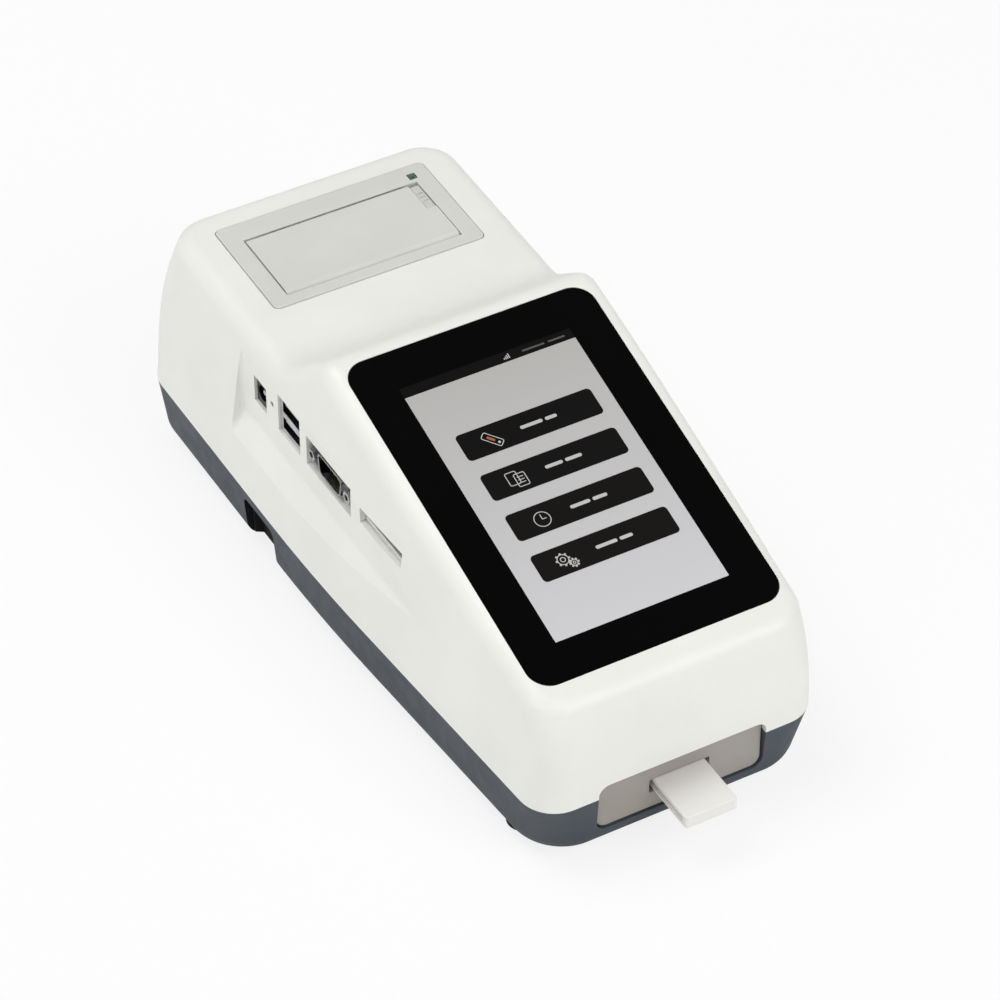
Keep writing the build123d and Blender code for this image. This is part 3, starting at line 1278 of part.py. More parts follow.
# ---------------------------------------------------------------- optics over the tray
with BuildPart() as optical_housing:
    foot = TRAY_TOP + OPTIC_CLEAR
    span = (OPTIC_POSTS_X[0] - 2.6, OPTIC_POSTS_X[1] + 2.6)
    low_y = OPTIC_Y - OPTIC_LENGTH / 2
    high_y = OPTIC_Y + OPTIC_LENGTH / 2
    block(span, (low_y, high_y), (foot, foot + 4.0))
    block((-13.0, 13.0), (OPTIC_Y - 14.0, OPTIC_Y + 14.0), (foot, OPTIC_TOP))
    for x in OPTIC_POSTS_X:
        block((x - 2.6, x + 2.6), (low_y, high_y), (BED_TOP + RUN, foot + 1.0))
        for y in OPTIC_POSTS_Y:
            rod(1.2, x, y, (BED_TOP - 1.0, foot + 6.0), mode=Mode.SUBTRACT)
    rod(CHANNEL_RADIUS, 0, OPTIC_Y, (foot - 1.0, OPTIC_TOP + 1.0), mode=Mode.SUBTRACT)
    rod(LENS_RADIUS + 0.1, 0, OPTIC_Y, (LENS_SEAT, OPTIC_TOP + 1.0), mode=Mode.SUBTRACT)
    with Locations(SOURCE_AXIS.location * Location((0, 0, 12.0))):
        Cylinder(SOURCE_RADIUS + 0.1, 24.0, mode=Mode.SUBTRACT)
    for x in (-10.5, 10.5):
        for y in (-11.5, 11.5):
            rod(0.9, x, OPTIC_Y + y, (OPTIC_TOP - 6.0, OPTIC_TOP + 1.0), mode=Mode.SUBTRACT)
save(optical_housing, "optical_housing")

with BuildPart() as optical_filter:
    rod(LENS_RADIUS, 0, OPTIC_Y, (LENS_SEAT + RUN, LENS_SEAT + 1.5))
save(optical_filter, "optical_filter")

with BuildPart() as collecting_lens:
    base = LENS_SEAT + 1.5 + RUN
    rod(LENS_RADIUS, 0, OPTIC_Y, (base, base + 3.0))
    with Locations((0, OPTIC_Y, base + 3.0 - 2 * LENS_RADIUS)):
        Sphere(2 * LENS_RADIUS, mode=Mode.INTERSECT)
save(collecting_lens, "collecting_lens")

with BuildPart() as excitation_lamp:
    with Locations(SOURCE_AXIS.location * Location((0, 0, 15.0))):
        Cylinder(SOURCE_RADIUS, 6.0)
    with Locations(SOURCE_AXIS.location * Location((0, 0, 12.0))):
        Sphere(SOURCE_RADIUS)
save(excitation_lamp, "excitation_lamp")

with BuildPart() as detector_board:
    block((-13.0, 13.0), (OPTIC_Y - 14.0, OPTIC_Y + 14.0), (OPTIC_TOP + RUN, OPTIC_TOP + BOARD_THICK))
    rod(3.4, 0, OPTIC_Y, (OPTIC_TOP - 4.0, OPTIC_TOP + 0.5))
    block((-6.0, 6.0), (OPTIC_Y + 7.0, OPTIC_Y + 12.0), (OPTIC_TOP + 1.0, OPTIC_TOP + 6.0))
    block((-4.0, 4.0), (OPTIC_Y - 8.0, OPTIC_Y), (OPTIC_TOP + 1.0, OPTIC_TOP + 2.8))
    for x in (-10.5, 10.5):
        for y in (-11.5, 11.5):
            rod(1.1, x, OPTIC_Y + y, (OPTIC_TOP - 1.0, OPTIC_TOP + 3.0), mode=Mode.SUBTRACT)
save(detector_board, "detector_board")

with BuildPart() as optical_screws:
    foot = TRAY_TOP + OPTIC_CLEAR
    for x in OPTIC_POSTS_X:
        for y in OPTIC_POSTS_Y:
            rod(0.9, x, y, (BED_TOP - 1.8, foot + 4.5))
            rod(1.9, x, y, (foot + 4.0 + RUN, foot + 5.3))
    for x in (-10.5, 10.5):
        for y in (-11.5, 11.5):
            rod(0.85, x, OPTIC_Y + y, (OPTIC_TOP - 5.0, OPTIC_TOP + 2.0))
            rod(1.8, x, OPTIC_Y + y, (OPTIC_TOP + BOARD_THICK + RUN, OPTIC_TOP + BOARD_THICK + 1.3))
save(optical_screws, "optical_screws")

# ---------------------------------------------------------------- ports
def port_span(port):
    """Limits of a port's body along Y and Z."""
    place, rise, width, height = port
    y = SCREEN_Y + place
    z = PART_Z + rise
    return (y - width / 2, y + width / 2), (z - height / 2, z + height / 2)


PORT_FACE = PORT_X + PORT_SET_BACK
PORT_BOARD_FACE = -PORT_BOARD_X - RUN

with BuildPart() as dc_jack:
    y, z = port_span(DC_PORT)
    block((PORT_FACE, PORT_BOARD_FACE), y, z)
    centre = (sum(y) / 2, sum(z) / 2)
    with Locations(Plane.YZ.location * Location((centre[0], centre[1], PORT_FACE + 4.5))):
        Cylinder(3.1, 9.2, mode=Mode.SUBTRACT)
    with Locations(Plane.YZ.location * Location((centre[0], centre[1], PORT_FACE + 5.0))):
        Cylinder(1.0, 8.6)
save(dc_jack, "dc_jack")

with BuildPart() as usb_socket:
    y, z = port_span(USB_PORT)
    block((PORT_FACE, PORT_BOARD_FACE), y, z)
    centre = (sum(y) / 2, sum(z) / 2)
    for side in (-1, 1):
        middle = centre[1] + side * 3.6
        block(
            (PORT_FACE - 1.0, PORT_FACE + 9.0),
            (centre[0] - 6.3, centre[0] + 6.3),
            (middle - 2.6, middle + 2.6),
            mode=Mode.SUBTRACT,
        )
        block(
            (PORT_FACE + 0.8, PORT_FACE + 9.5),
            (centre[0] - 5.6, centre[0] + 5.6),
            (middle + 0.2, middle + 2.0),
        )
save(usb_socket, "usb_socket")

with BuildPart() as serial_socket:
    y, z = port_span(SERIAL_PORT)
    centre = (sum(y) / 2, sum(z) / 2)
    block((PORT_FACE + 1.6, PORT_FACE + 2.8), y, z)
    block((PORT_FACE + 2.6, PORT_BOARD_FACE), (y[0] + 2.0, y[1] - 2.0), (z[0] + 0.6, z[1] - 0.6))
    for outer, deep, mode in ((0.0, 3.0, Mode.ADD), (0.5, 8.0, Mode.SUBTRACT)):
        with BuildSketch(Plane.YZ.offset(PORT_FACE - 0.6)):
            with BuildLine():
                Polyline(
                    (centre[0] - 8.6 + outer, centre[1] + 4.2 - outer),
                    (centre[0] + 8.6 - outer, centre[1] + 4.2 - outer),
                    (centre[0] + 7.2 - outer, centre[1] - 4.2 + outer),
                    (centre[0] - 7.2 + outer, centre[1] - 4.2 + outer),
                    close=True,
                )
            outline = make_face()
            fillet(outline.vertices(), 1.6)
        extrude(amount=deep, mode=mode)
    for row, count in ((1.4, 5), (-1.4, 4)):
        for step in range(count):
            pin_y = centre[0] + (step - (count - 1) / 2) * 2.77
            with Locations(Plane.YZ.location * Location((pin_y, centre[1] + row, PORT_FACE + 4.9))):
                Cylinder(0.5, 6.0)
    for side in (-1, 1):
        with Locations(
            Plane.YZ.location * Location((centre[0] + side * 12.5, centre[1], PORT_FACE + 3.0)),
        ):
            Cylinder(1.3, 8.0, mode=Mode.SUBTRACT)
save(serial_socket, "serial_socket")

with BuildPart() as jack_screws:
    y, z = port_span(SERIAL_PORT)
    centre = (sum(y) / 2, sum(z) / 2)
    for side in (-1, 1):
        with BuildSketch(Plane.YZ.offset(PORT_FACE - 0.9)):
            with Locations((centre[0] + side * 12.5, centre[1])):
                RegularPolygon(2.5, 6)
                Circle(1.2, mode=Mode.SUBTRACT)
        extrude(amount=2.45)
        with BuildSketch(Plane.YZ.offset(PORT_FACE + 1.5)):
            with Locations((centre[0] + side * 12.5, centre[1])):
                Circle(1.25)
        extrude(amount=4.0)
save(jack_screws, "jack_screws")

with BuildPart() as card_socket:
    y, z = port_span(CARD_PORT)
    face = PORT_X + CARD_SET_BACK
    block((face, PORT_BOARD_FACE), y, z)
    middle = sum(z) / 2 + 0.6
    block(
        (face - 1.0, PORT_BOARD_FACE - 1.5),
        (y[0] + 0.9, y[1] - 0.9),
        (middle - 1.3, middle + 1.3),
        mode=Mode.SUBTRACT,
    )
save(card_socket, "card_socket")

with BuildPart() as charge_lamp:
    with Locations(
        Plane.YZ.location * Location(
            (SCREEN_Y + CHARGE_LAMP[0], PART_Z + CHARGE_LAMP[1], (PORT_X + 0.3 + PORT_BOARD_FACE) / 2),
        ),
    ):
        Cylinder(1.0, PORT_BOARD_FACE - PORT_X - 0.3)
save(charge_lamp, "charge_lamp")

with BuildPart() as port_board:
    block(
        (-PORT_BOARD_X, -PORT_BOARD_X + BOARD_THICK), (SCREEN_Y + 5.0, SCREEN_Y + 117.0),
        (PART_Z + PORT_POST_RISE - 4.0, PART_Z + 52.0),
    )
    for place in PORT_POSTS:
        with Locations(
            Plane.YZ.location * Location((SCREEN_Y + place, PART_Z + PORT_POST_RISE, -PORT_BOARD_X)),
        ):
            Cylinder(1.1, 6.0, mode=Mode.SUBTRACT)
    block(
        (-PORT_BOARD_X + BOARD_THICK - 0.2, -PORT_BOARD_X + 4.0), (SCREEN_Y + 84.0, SCREEN_Y + 106.0),
        (PART_Z + 34.0, PART_Z + 38.0),
    )
    block(
        (-PORT_BOARD_X + BOARD_THICK - 0.2, -PORT_BOARD_X + 3.0), (SCREEN_Y + 54.0, SCREEN_Y + 64.0),
        (PART_Z + 36.0, PART_Z + 42.0),
    )
save(port_board, "port_board")

with BuildPart() as port_screws:
    for place in PORT_POSTS:
        for radius, low, high in (
            (0.8, -PORT_BOARD_X - 2.0, -PORT_BOARD_X + 2.0),
            (1.8, -PORT_BOARD_X + BOARD_THICK + RUN, -PORT_BOARD_X + 3.0),
        ):
            with Locations(
                Plane.YZ.location * Location(
                    (SCREEN_Y + place, PART_Z + PORT_POST_RISE, (low + high) / 2),
                ),
            ):
                Cylinder(radius, high - low)
save(port_screws, "port_screws")

# ---------------------------------------------------------------- main board, cables, battery, switch
BOARD_TOP = MAIN_BOARD_Z + BOARD_THICK
with BuildPart() as main_board:
    block(MAIN_BOARD_X, MAIN_BOARD_Y, (MAIN_BOARD_Z, BOARD_TOP))
    for x, y in MAIN_POSTS:
        rod(1.2, x, y, (MAIN_BOARD_Z - 1.0, BOARD_TOP + 1.0), mode=Mode.SUBTRACT)
save(main_board, "main_board")

with BuildPart() as board_parts:
    middle = sum(MAIN_BOARD_Y) / 2
    for x, y, width, length, height in (
        (-4.0, middle - 2.0, 20.0, 20.0, 1.6),
        (20.0, middle - 6.0, 10.0, 14.0, 1.2),
        (20.0, middle + 12.0, 10.0, 14.0, 1.2),
        (-26.0, middle + 6.0, 9.0, 9.0, 4.5),
        (34.0, middle, 7.0, 16.0, 6.0),
        (0.0, MAIN_BOARD_Y[0] + 4.0, 26.0, 5.0, 2.6),
        (-24.0, middle - 16.0, 6.0, 24.0, 3.0),
        (8.0, MAIN_BOARD_Y[1] - 5.0, 22.0, 5.0, 2.6),
    ):
        block(
            (x - width / 2, x + width / 2), (y - length / 2, y + length / 2),
            (BOARD_TOP + RUN, BOARD_TOP + height),
        )
    rod(6.0, -18.0, MAIN_BOARD_Y[1] - 10.0, (BOARD_TOP + RUN, BOARD_TOP + 7.5))
save(board_parts, "board_parts")

with BuildPart() as board_screws:
    for x, y in MAIN_POSTS:
        rod(0.9, x, y, (MAIN_BOARD_Z - 7.0, BOARD_TOP + 0.5))
        rod(2.2, x, y, (BOARD_TOP + RUN, BOARD_TOP + 1.8))
save(board_screws, "board_screws")

with BuildPart() as battery_pack:
    with BuildSketch(Plane.YZ.offset(-BATTERY_LENGTH / 2)):
        with Locations((BATTERY_Y, FLOOR_Z + BATTERY_RADIUS + RUN)):
            SlotOverall(4 * BATTERY_RADIUS, 2 * BATTERY_RADIUS)
    extrude(amount=BATTERY_LENGTH)
save(battery_pack, "battery_pack")

with BuildPart() as battery_strap:
    top = FLOOR_Z + 2 * BATTERY_RADIUS + 0.3
    side = BATTERY_LENGTH / 2 + 0.6
    base = FLOOR_Z + 8.0 + RUN
    for low, high in (
        ((-side - 1.2, -side), (base, top + 1.2)),
        ((side, side + 1.2), (base, top + 1.2)),
        ((-side, side), (top, top + 1.2)),
    ):
        block(low, (BATTERY_Y - 6.0, BATTERY_Y + 6.0), high)
    for sign in (-1, 1):
        x = (sign * side, sign * (side + 9.0))
        block((min(x), max(x)), (BATTERY_Y - 6.0, BATTERY_Y + 6.0), (base, base + 1.2))
    for x, y in STRAP_POSTS:
        rod(1.2, x, y, (base - 1.0, base + 3.0), mode=Mode.SUBTRACT)
save(battery_strap, "battery_strap")

with BuildPart() as strap_screws:
    base = FLOOR_Z + 8.0 + RUN
    for x, y in STRAP_POSTS:
        rod(0.9, x, y, (base - 5.0, base + 1.6))
        rod(2.0, x, y, (base + 1.2 + RUN, base + 2.6))
save(strap_screws, "strap_screws")


def flat_cable(points, radius, width, plane):
    """Flat cable along a route on a plane, as wide as given across it."""
    with BuildPart() as cable:
        with BuildSketch(plane):
            with BuildLine():
                route = FilletPolyline(*points, radius=radius)
                offset(route, amount=0.2, side=Side.BOTH)
            make_face()
        extrude(amount=width / 2, both=True)
    return cable.part


with BuildPart() as display_ribbon:
    start = SCREEN_SIDE.from_local_coords(
        Vector(DRIVER_LENGTH / 2 - 3.6, DRIVER_TOP - BOARD_THICK - 1.0, 0),
    )
    target_y = MAIN_BOARD_Y[0] + 1.2
    add(flat_cable(
        (
            (start.Y, start.Z), (start.Y + 14.0, start.Z + 1.0), (target_y - 8.0, start.Z - 12.0),
            (target_y - 8.0, BOARD_TOP + 1.4), (target_y, BOARD_TOP + 1.4),
        ),
        3.0, 20.0, Plane.YZ,
    ))
save(display_ribbon, "display_ribbon")

with BuildPart() as port_ribbon:
    add(flat_cable(
        (
            (-PORT_BOARD_X + 4.2, PART_Z + 36.0), (-PORT_BOARD_X + 9.0, PART_Z + 36.0),
            (-PORT_BOARD_X + 9.0, BOARD_TOP + 1.4), (-27.2, BOARD_TOP + 1.4),
        ),
        2.5, 18.0, Plane.XZ.offset(-(SCREEN_Y + 95.0)),
    ))
save(port_ribbon, "port_ribbon")

with BuildPart() as power_switch:
    half_width = SWITCH_WIDTH / 2
    half_height = SWITCH_HEIGHT / 2
    block(
        (SWITCH_X - half_width - 1.6, SWITCH_X + half_width + 1.6),
        (SWITCH_FACE + RUN, SWITCH_FACE + 1.1),
        (SWITCH_Z - half_height - 1.6, SWITCH_Z + half_height + 1.6),
    )
    fillet(power_switch.edges().filter_by(Axis.Y), 1.0)
    block(
        (SWITCH_X - half_width + 0.4, SWITCH_X + half_width - 0.4),
        (SWITCH_FACE - 14.0, SWITCH_FACE + 1.0),
        (SWITCH_Z - half_height + 0.4, SWITCH_Z + half_height - 0.4),
    )
    block(
        (SWITCH_X - half_width + 1.6, SWITCH_X + half_width - 1.6),
        (SWITCH_FACE - 8.0, SWITCH_FACE + 4.0),
        (SWITCH_Z - half_height + 1.4, SWITCH_Z + half_height - 1.4),
        mode=Mode.SUBTRACT,
    )
    with Locations((SWITCH_X, ROCKER_Y, SWITCH_Z)):
        Cylinder(1.0, SWITCH_HEIGHT - 1.4)
save(power_switch, "power_switch")

with BuildPart() as power_rocker:
    arm = SWITCH_WIDTH / 2 - 1.6 - 0.5
    rest = Plane(
        origin=(SWITCH_X, ROCKER_Y, SWITCH_Z - SWITCH_HEIGHT / 2 + 1.8),
        x_dir=(cos(radians(ROCKER_SWING)), -sin(radians(ROCKER_SWING)), 0), z_dir=(0, 0, 1),
    )
    with BuildSketch(rest):
        with BuildLine():
            Line((-arm, -1.5), (arm, -1.5))
            Line((arm, -1.5), (arm, ROCKER_RISE))
            ThreePointArc((arm, ROCKER_RISE), (0, ROCKER_RISE - 0.8), (-arm, ROCKER_RISE))
            Line((-arm, ROCKER_RISE), (-arm, -1.5))
        make_face()
        Circle(1.0 + 2 * RUN, mode=Mode.SUBTRACT)
    extrude(amount=SWITCH_HEIGHT - 3.6)
save(power_rocker, "power_rocker")
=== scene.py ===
import bmesh
import bpy
from math import cos, pi, radians, sin
from mathutils import Matrix, Vector


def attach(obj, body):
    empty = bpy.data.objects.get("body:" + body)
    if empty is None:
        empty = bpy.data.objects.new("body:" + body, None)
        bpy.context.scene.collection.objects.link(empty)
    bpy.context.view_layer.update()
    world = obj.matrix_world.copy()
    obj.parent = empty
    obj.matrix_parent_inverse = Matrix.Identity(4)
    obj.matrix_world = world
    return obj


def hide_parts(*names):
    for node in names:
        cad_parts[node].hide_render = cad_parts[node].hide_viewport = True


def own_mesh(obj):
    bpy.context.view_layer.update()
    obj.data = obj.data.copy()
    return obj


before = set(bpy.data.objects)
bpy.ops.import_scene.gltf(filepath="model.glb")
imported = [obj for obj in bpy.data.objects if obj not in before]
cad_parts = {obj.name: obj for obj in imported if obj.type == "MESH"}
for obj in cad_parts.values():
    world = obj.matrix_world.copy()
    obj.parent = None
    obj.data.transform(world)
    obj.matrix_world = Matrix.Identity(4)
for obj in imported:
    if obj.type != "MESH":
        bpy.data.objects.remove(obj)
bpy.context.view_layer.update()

# Lengths are in millimetres until MM turns them into metres. +Z is up and -Y points
# towards the user.
MM = 0.001
SCREEN_CENTRE = Vector((0, -46.95, 88.5)) * MM
SCREEN_TILT = radians(15.56)
SCREEN_UP = Vector((0, cos(SCREEN_TILT), sin(SCREEN_TILT)))
SCREEN_OUT = Vector((0, -sin(SCREEN_TILT), cos(SCREEN_TILT)))
PICTURE_HALF_WIDTH = 32.4
PICTURE_HALF_LENGTH = 54.0
STATUS_HEIGHT = 4.1
BUTTON_WIDTH = 51.2
BUTTON_HEIGHT = 11.0
BUTTON_X = 1.0
BUTTON_TOP = 24.4
BUTTON_PITCH = 17.2
ICON_X = -13.3
WORDS_X = -2.6
PICTURE_CORNER = 0.2
BUTTON_CORNER = 1.6
# the picture's pieces lie in layers on the cover glass, each filling most of its layer
LAYER = 0.012
LAYER_FILL = 0.8

# sockets of a colour Mix node
MIX_A = 6
MIX_B = 7
MIX_RESULT = 2
GLASS_SPECULAR = 0.22


def linear(hex_colour):
    """Scene-linear colour of an sRGB hex string."""
    values = [int(hex_colour[i:i + 2], 16) / 255 for i in (0, 2, 4)]
    return [v / 12.92 if v <= 0.04045 else ((v + 0.055) / 1.055) ** 2.4 for v in values] + [1.0]


def add_object(name, data):
    """Put a new object with this data into the scene."""
    item = bpy.data.objects.new(name, data)
    bpy.context.scene.collection.objects.link(item)
    return item


# ------------------------------------------------------------------ materials
class Surface:
    """Principled material with helpers for procedural detail in object space."""

    def __init__(self, name, colour, roughness, metallic=0.0, ior=1.46):
        self.material = bpy.data.materials.new(name)
        self.material.use_nodes = True
        self.nodes = self.material.node_tree.nodes
        self.links = self.material.node_tree.links
        self.shader = self.nodes["Principled BSDF"]
        self.shader.inputs["Base Color"].default_value = linear(colour)
        self.shader.inputs["Roughness"].default_value = roughness
        self.shader.inputs["Metallic"].default_value = metallic
        self.shader.inputs["IOR"].default_value = ior
        self.place = self.nodes.new("ShaderNodeTexCoord").outputs["Object"]
        self.height = None
        self.metal = metallic

    def noise(self, scale, detail=3.0, stretch=(1, 1, 1)):
        """Cloudy noise, stretched along the axes."""
        mapping = self.nodes.new("ShaderNodeMapping")
        mapping.inputs["Scale"].default_value = stretch
        self.links.new(self.place, mapping.inputs["Vector"])
        noise = self.nodes.new("ShaderNodeTexNoise")
        noise.inputs["Scale"].default_value = scale
        noise.inputs["Detail"].default_value = detail
        self.links.new(mapping.outputs["Vector"], noise.inputs["Vector"])
        return noise.outputs["Fac"]

    def cells(self, scale):
        """Distance to the middle of the nearest cell."""
        cells = self.nodes.new("ShaderNodeTexVoronoi")
        cells.inputs["Scale"].default_value = scale
        self.links.new(self.place, cells.inputs["Vector"])
        return cells.outputs["Distance"]

    def spread(self, value, low, high, start=0.3, end=0.7):
        """Map a value from the range start to end to the range low to high."""
        span = self.nodes.new("ShaderNodeMapRange")
        span.inputs["From Min"].default_value = start
        span.inputs["From Max"].default_value = end
        span.inputs["To Min"].default_value = low
        span.inputs["To Max"].default_value = high
        self.links.new(value, span.inputs["Value"])
        return span.outputs["Result"]

    def tint(self, value, dark, light):
        """Colour the surface between two colours."""
        mix = self.nodes.new("ShaderNodeMix")
        mix.data_type = "RGBA"
        mix.inputs[MIX_A].default_value = linear(dark)
        mix.inputs[MIX_B].default_value = linear(light)
        self.links.new(value, mix.inputs[0])
        self.links.new(mix.outputs[MIX_RESULT], self.shader.inputs["Base Color"])
        self.colour = mix.outputs[MIX_RESULT]

    def vary_roughness(self, value, low, high):
        """Let a value set the roughness between two levels."""
        self.links.new(self.spread(value, low, high), self.shader.inputs["Roughness"])

    def bump(self, value, strength, distance):
        """Add relief on top of the earlier relief; the distance is in metres."""
        bump = self.nodes.new("ShaderNodeBump")
        bump.inputs["Strength"].default_value = strength
        bump.inputs["Distance"].default_value = distance
        self.links.new(value, bump.inputs["Height"])
        if self.height:
            self.links.new(self.height, bump.inputs["Normal"])
        self.height = bump.outputs["Normal"]
        self.links.new(self.height, self.shader.inputs["Normal"])

    def inside(self, low, high):
        """Mask that is 1 inside a box given in millimetres of the object frame."""
        split = self.nodes.new("ShaderNodeSeparateXYZ")
        self.links.new(self.place, split.inputs[0])
        mask = None
        for axis in range(3):
            for limit, operation in ((low[axis], "GREATER_THAN"), (high[axis], "LESS_THAN")):
                test = self.nodes.new("ShaderNodeMath")
                test.operation = operation
                test.inputs[1].default_value = limit * MM
                self.links.new(split.outputs[axis], test.inputs[0])
                if mask is None:
                    mask = test.outputs[0]
                else:
                    both = self.nodes.new("ShaderNodeMath")
                    both.operation = "MULTIPLY"
                    self.links.new(mask, both.inputs[0])
                    self.links.new(test.outputs[0], both.inputs[1])
                    mask = both.outputs[0]
        return mask

    def patch(self, mask, colour, metallic=0.0):
        """Give the masked region another colour.

        Only the latest patch sets the metalness: its own inside its mask, and the one of
        the patch before it everywhere else.
        """
        mix = self.nodes.new("ShaderNodeMix")
        mix.data_type = "RGBA"
        mix.inputs[MIX_B].default_value = linear(colour)
        self.links.new(mask, mix.inputs[0])
        self.links.new(self.colour, mix.inputs[MIX_A])
        self.links.new(mix.outputs[MIX_RESULT], self.shader.inputs["Base Color"])
        self.colour = mix.outputs[MIX_RESULT]
        level = self.spread(mask, self.metal, metallic, 0.0, 1.0)
        self.links.new(level, self.shader.inputs["Metallic"])
        self.metal = metallic


def moulded(name, dark, light, roughness, grain=2600, depth=0.00002, strength=0.25):
    """Moulded plastic: spark-eroded grain, faint flow mottling and uneven gloss."""
    surface = Surface(name, light, roughness)
    surface.tint(surface.spread(surface.noise(22, 4.0), 0, 1), dark, light)
    surface.vary_roughness(surface.noise(140, 2.0), roughness - 0.05, roughness + 0.06)
    surface.bump(surface.noise(grain, 2.0), strength, depth)
    surface.bump(surface.noise(60, 1.0), 0.06, 0.0001)
    return surface


def metal(name, dark, light, roughness, stretch=(1, 1, 12)):
    """Metal with fine drawn lines and uneven gloss."""
    surface = Surface(name, light, roughness, metallic=1.0)
    surface.tint(surface.spread(surface.noise(300, 3.0), 0, 1), dark, light)
    surface.vary_roughness(surface.noise(900, 3.0, stretch), roughness - 0.08, roughness + 0.1)
    surface.bump(surface.noise(1500, 2.0, stretch), 0.2, 0.00001)
    return surface


white_shell = moulded("white_shell", "E9E9E4", "EFEFEA", 0.40)
grey_shell = moulded(
    "grey_shell", "454A50", "4E545B", 0.52, grain=1700, depth=0.00004, strength=0.4,
)
grey_shell.shader.inputs["Specular IOR Level"].default_value = 0.25
# the finger grips' pockets are darkened to near black with painted shade
GRIP_INNER_X = 50.0
GRIP_OUTER_X = 62.2
GRIP_Y = (43.4, 65.7)
GRIP_Z = (-1.0, 22.6)
for side in (-1, 1):
    low, high = sorted((side * GRIP_INNER_X, side * GRIP_OUTER_X))
    shaded_pocket = grey_shell.inside((low, GRIP_Y[0], GRIP_Z[0]), (high, GRIP_Y[1], GRIP_Z[1]))
    # painted shade inside the grip pocket
    grey_shell.patch(shaded_pocket, "0C0C0D")
cover_grey = moulded("cover_grey", "CFD0CA", "D7D8D2", 0.46, grain=2000)
warm_grey = moulded("warm_grey", "948E86", "A09B95", 0.34, grain=2000)
tray_white = moulded("tray_white", "E4E1DD", "ECEAE6", 0.38)
black_plastic = moulded("black_plastic", "101011", "18181A", 0.45, grain=1500)
gear_white = moulded("gear_white", "DAD6C8", "E6E2D6", 0.35)
latch_grey = moulded("latch_grey", "C4C5BF", "CECFC9", 0.44)
battery_blue = moulded("battery_blue", "1D3E7C", "244A90", 0.3, grain=400)
cable_white = moulded("cable_white", "D6D6D0", "E4E4DE", 0.4, grain=800)
chip_black = moulded("chip_black", "0E0E0F", "1B1B1D", 0.55, grain=3000)

rubber = Surface("rubber", "141414", 0.75)
rubber.tint(rubber.spread(rubber.noise(90, 4.0), 0, 1), "0F0F0F", "1E1E1E")
rubber.bump(rubber.cells(1800), 0.5, 0.00006)
rubber.shader.inputs["Specular IOR Level"].default_value = 0.3

glass_black = Surface("glass_black", "060606", 0.06, ior=1.5)
glass_black.tint(glass_black.spread(glass_black.noise(8, 2.0), 0, 1), "020202", "040404")
glass_black.vary_roughness(glass_black.noise(35, 4.0), 0.03, 0.10)
glass_black.shader.inputs["Specular IOR Level"].default_value = GLASS_SPECULAR

zinc = metal("zinc", "9A9B9D", "C2C3C6", 0.34)
sheet = metal("sheet", "A4A5A6", "C8C9CA", 0.30, (12, 1, 1))
can = metal("can", "909294", "B4B6B8", 0.36)
aluminium = metal("aluminium", "B0B2B4", "CDCFD1", 0.32, (1, 12, 1))

board = Surface("board", "0F4A26", 0.35)
board.tint(board.spread(board.noise(240, 1.0, (1, 6, 1)), 0, 1, 0.46, 0.54), "0B3A1E", "16582E")
board.bump(board.noise(240, 1.0, (1, 6, 1)), 0.2, 0.00003)

lens_glass = Surface("lens_glass", "E8F0F2", 0.04, ior=1.5)
lens_glass.shader.inputs["Transmission Weight"].default_value = 0.9
lens_glass.vary_roughness(lens_glass.noise(60, 2.0), 0.02, 0.06)

epoxy = Surface("epoxy", "D8E2E8", 0.12, ior=1.5)
epoxy.tint(epoxy.spread(epoxy.noise(500, 2.0), 0, 1), "C8D4DC", "E4ECF0")
epoxy.shader.inputs["Coat Weight"].default_value = 0.6

lamp_lens = Surface("lamp_lens", "39463E", 0.18, ior=1.5)
lamp_lens.tint(lamp_lens.spread(lamp_lens.cells(900), 0, 1), "2A362F", "56685C")
lamp_lens.shader.inputs["Coat Weight"].default_value = 0.5


# ------------------------------------------------------------------ sockets
def port_mask(surface, depth, y, z, half_y, half_z):
    """Mask of a box in the port face: its range in x, its middle and its half sizes."""
    return surface.inside(
        (depth[0], y - half_y, z - half_z), (depth[1], y + half_y, z + half_z),
    )


# the serial socket: a mouth darkened with painted shade, with two rows of pins
SERIAL_Y = 12.75
SERIAL_Z = 69.0
PIN_ROW = 1.4
PIN_PITCH = 2.77
PIN_HALF = 0.6
serial_metal = metal("serial_metal", "8E8F90", "B4B5B6", 0.3)
shaded_mouth = port_mask(serial_metal, (-54.9, -40.0), SERIAL_Y, SERIAL_Z, 7.6, 3.6)
# painted shade in the socket's mouth
serial_metal.patch(shaded_mouth, "151515")
for row, count in ((PIN_ROW, 5), (-PIN_ROW, 4)):
    for step in range(count):
        pin_y = SERIAL_Y + (step - (count - 1) / 2) * PIN_PITCH
        pin = port_mask(serial_metal, (-53.0, -44.0), pin_y, SERIAL_Z + row, PIN_HALF, PIN_HALF)
        serial_metal.patch(pin, "B89A58", 1.0)

# the double USB socket: two mouths darkened with painted shade, each with a tongue above its
# middle
USB_Y = 41.25
USB_Z = 70.2
USB_STACK = 3.6
TONGUE_RISE = 1.1
usb_metal = metal("usb_metal", "9EA0A2", "C4C6C8", 0.26)
for level in (USB_Z - USB_STACK, USB_Z + USB_STACK):
    shaded_mouth = port_mask(usb_metal, (-54.4, -43.0), USB_Y, level, 6.5, 2.7)
    # painted shade in each mouth
    usb_metal.patch(shaded_mouth, "0E0E0F")
    tongue = port_mask(usb_metal, (-54.3, -44.5), USB_Y, level + TONGUE_RISE, 5.7, 1.0)
    usb_metal.patch(tongue, "B9BABB")

# the memory card socket: a slot darkened with painted shade
CARD_Y = -23.0
CARD_Z = 69.9
card_white = moulded("card_white", "D2D2CD", "DDDDD8", 0.4)
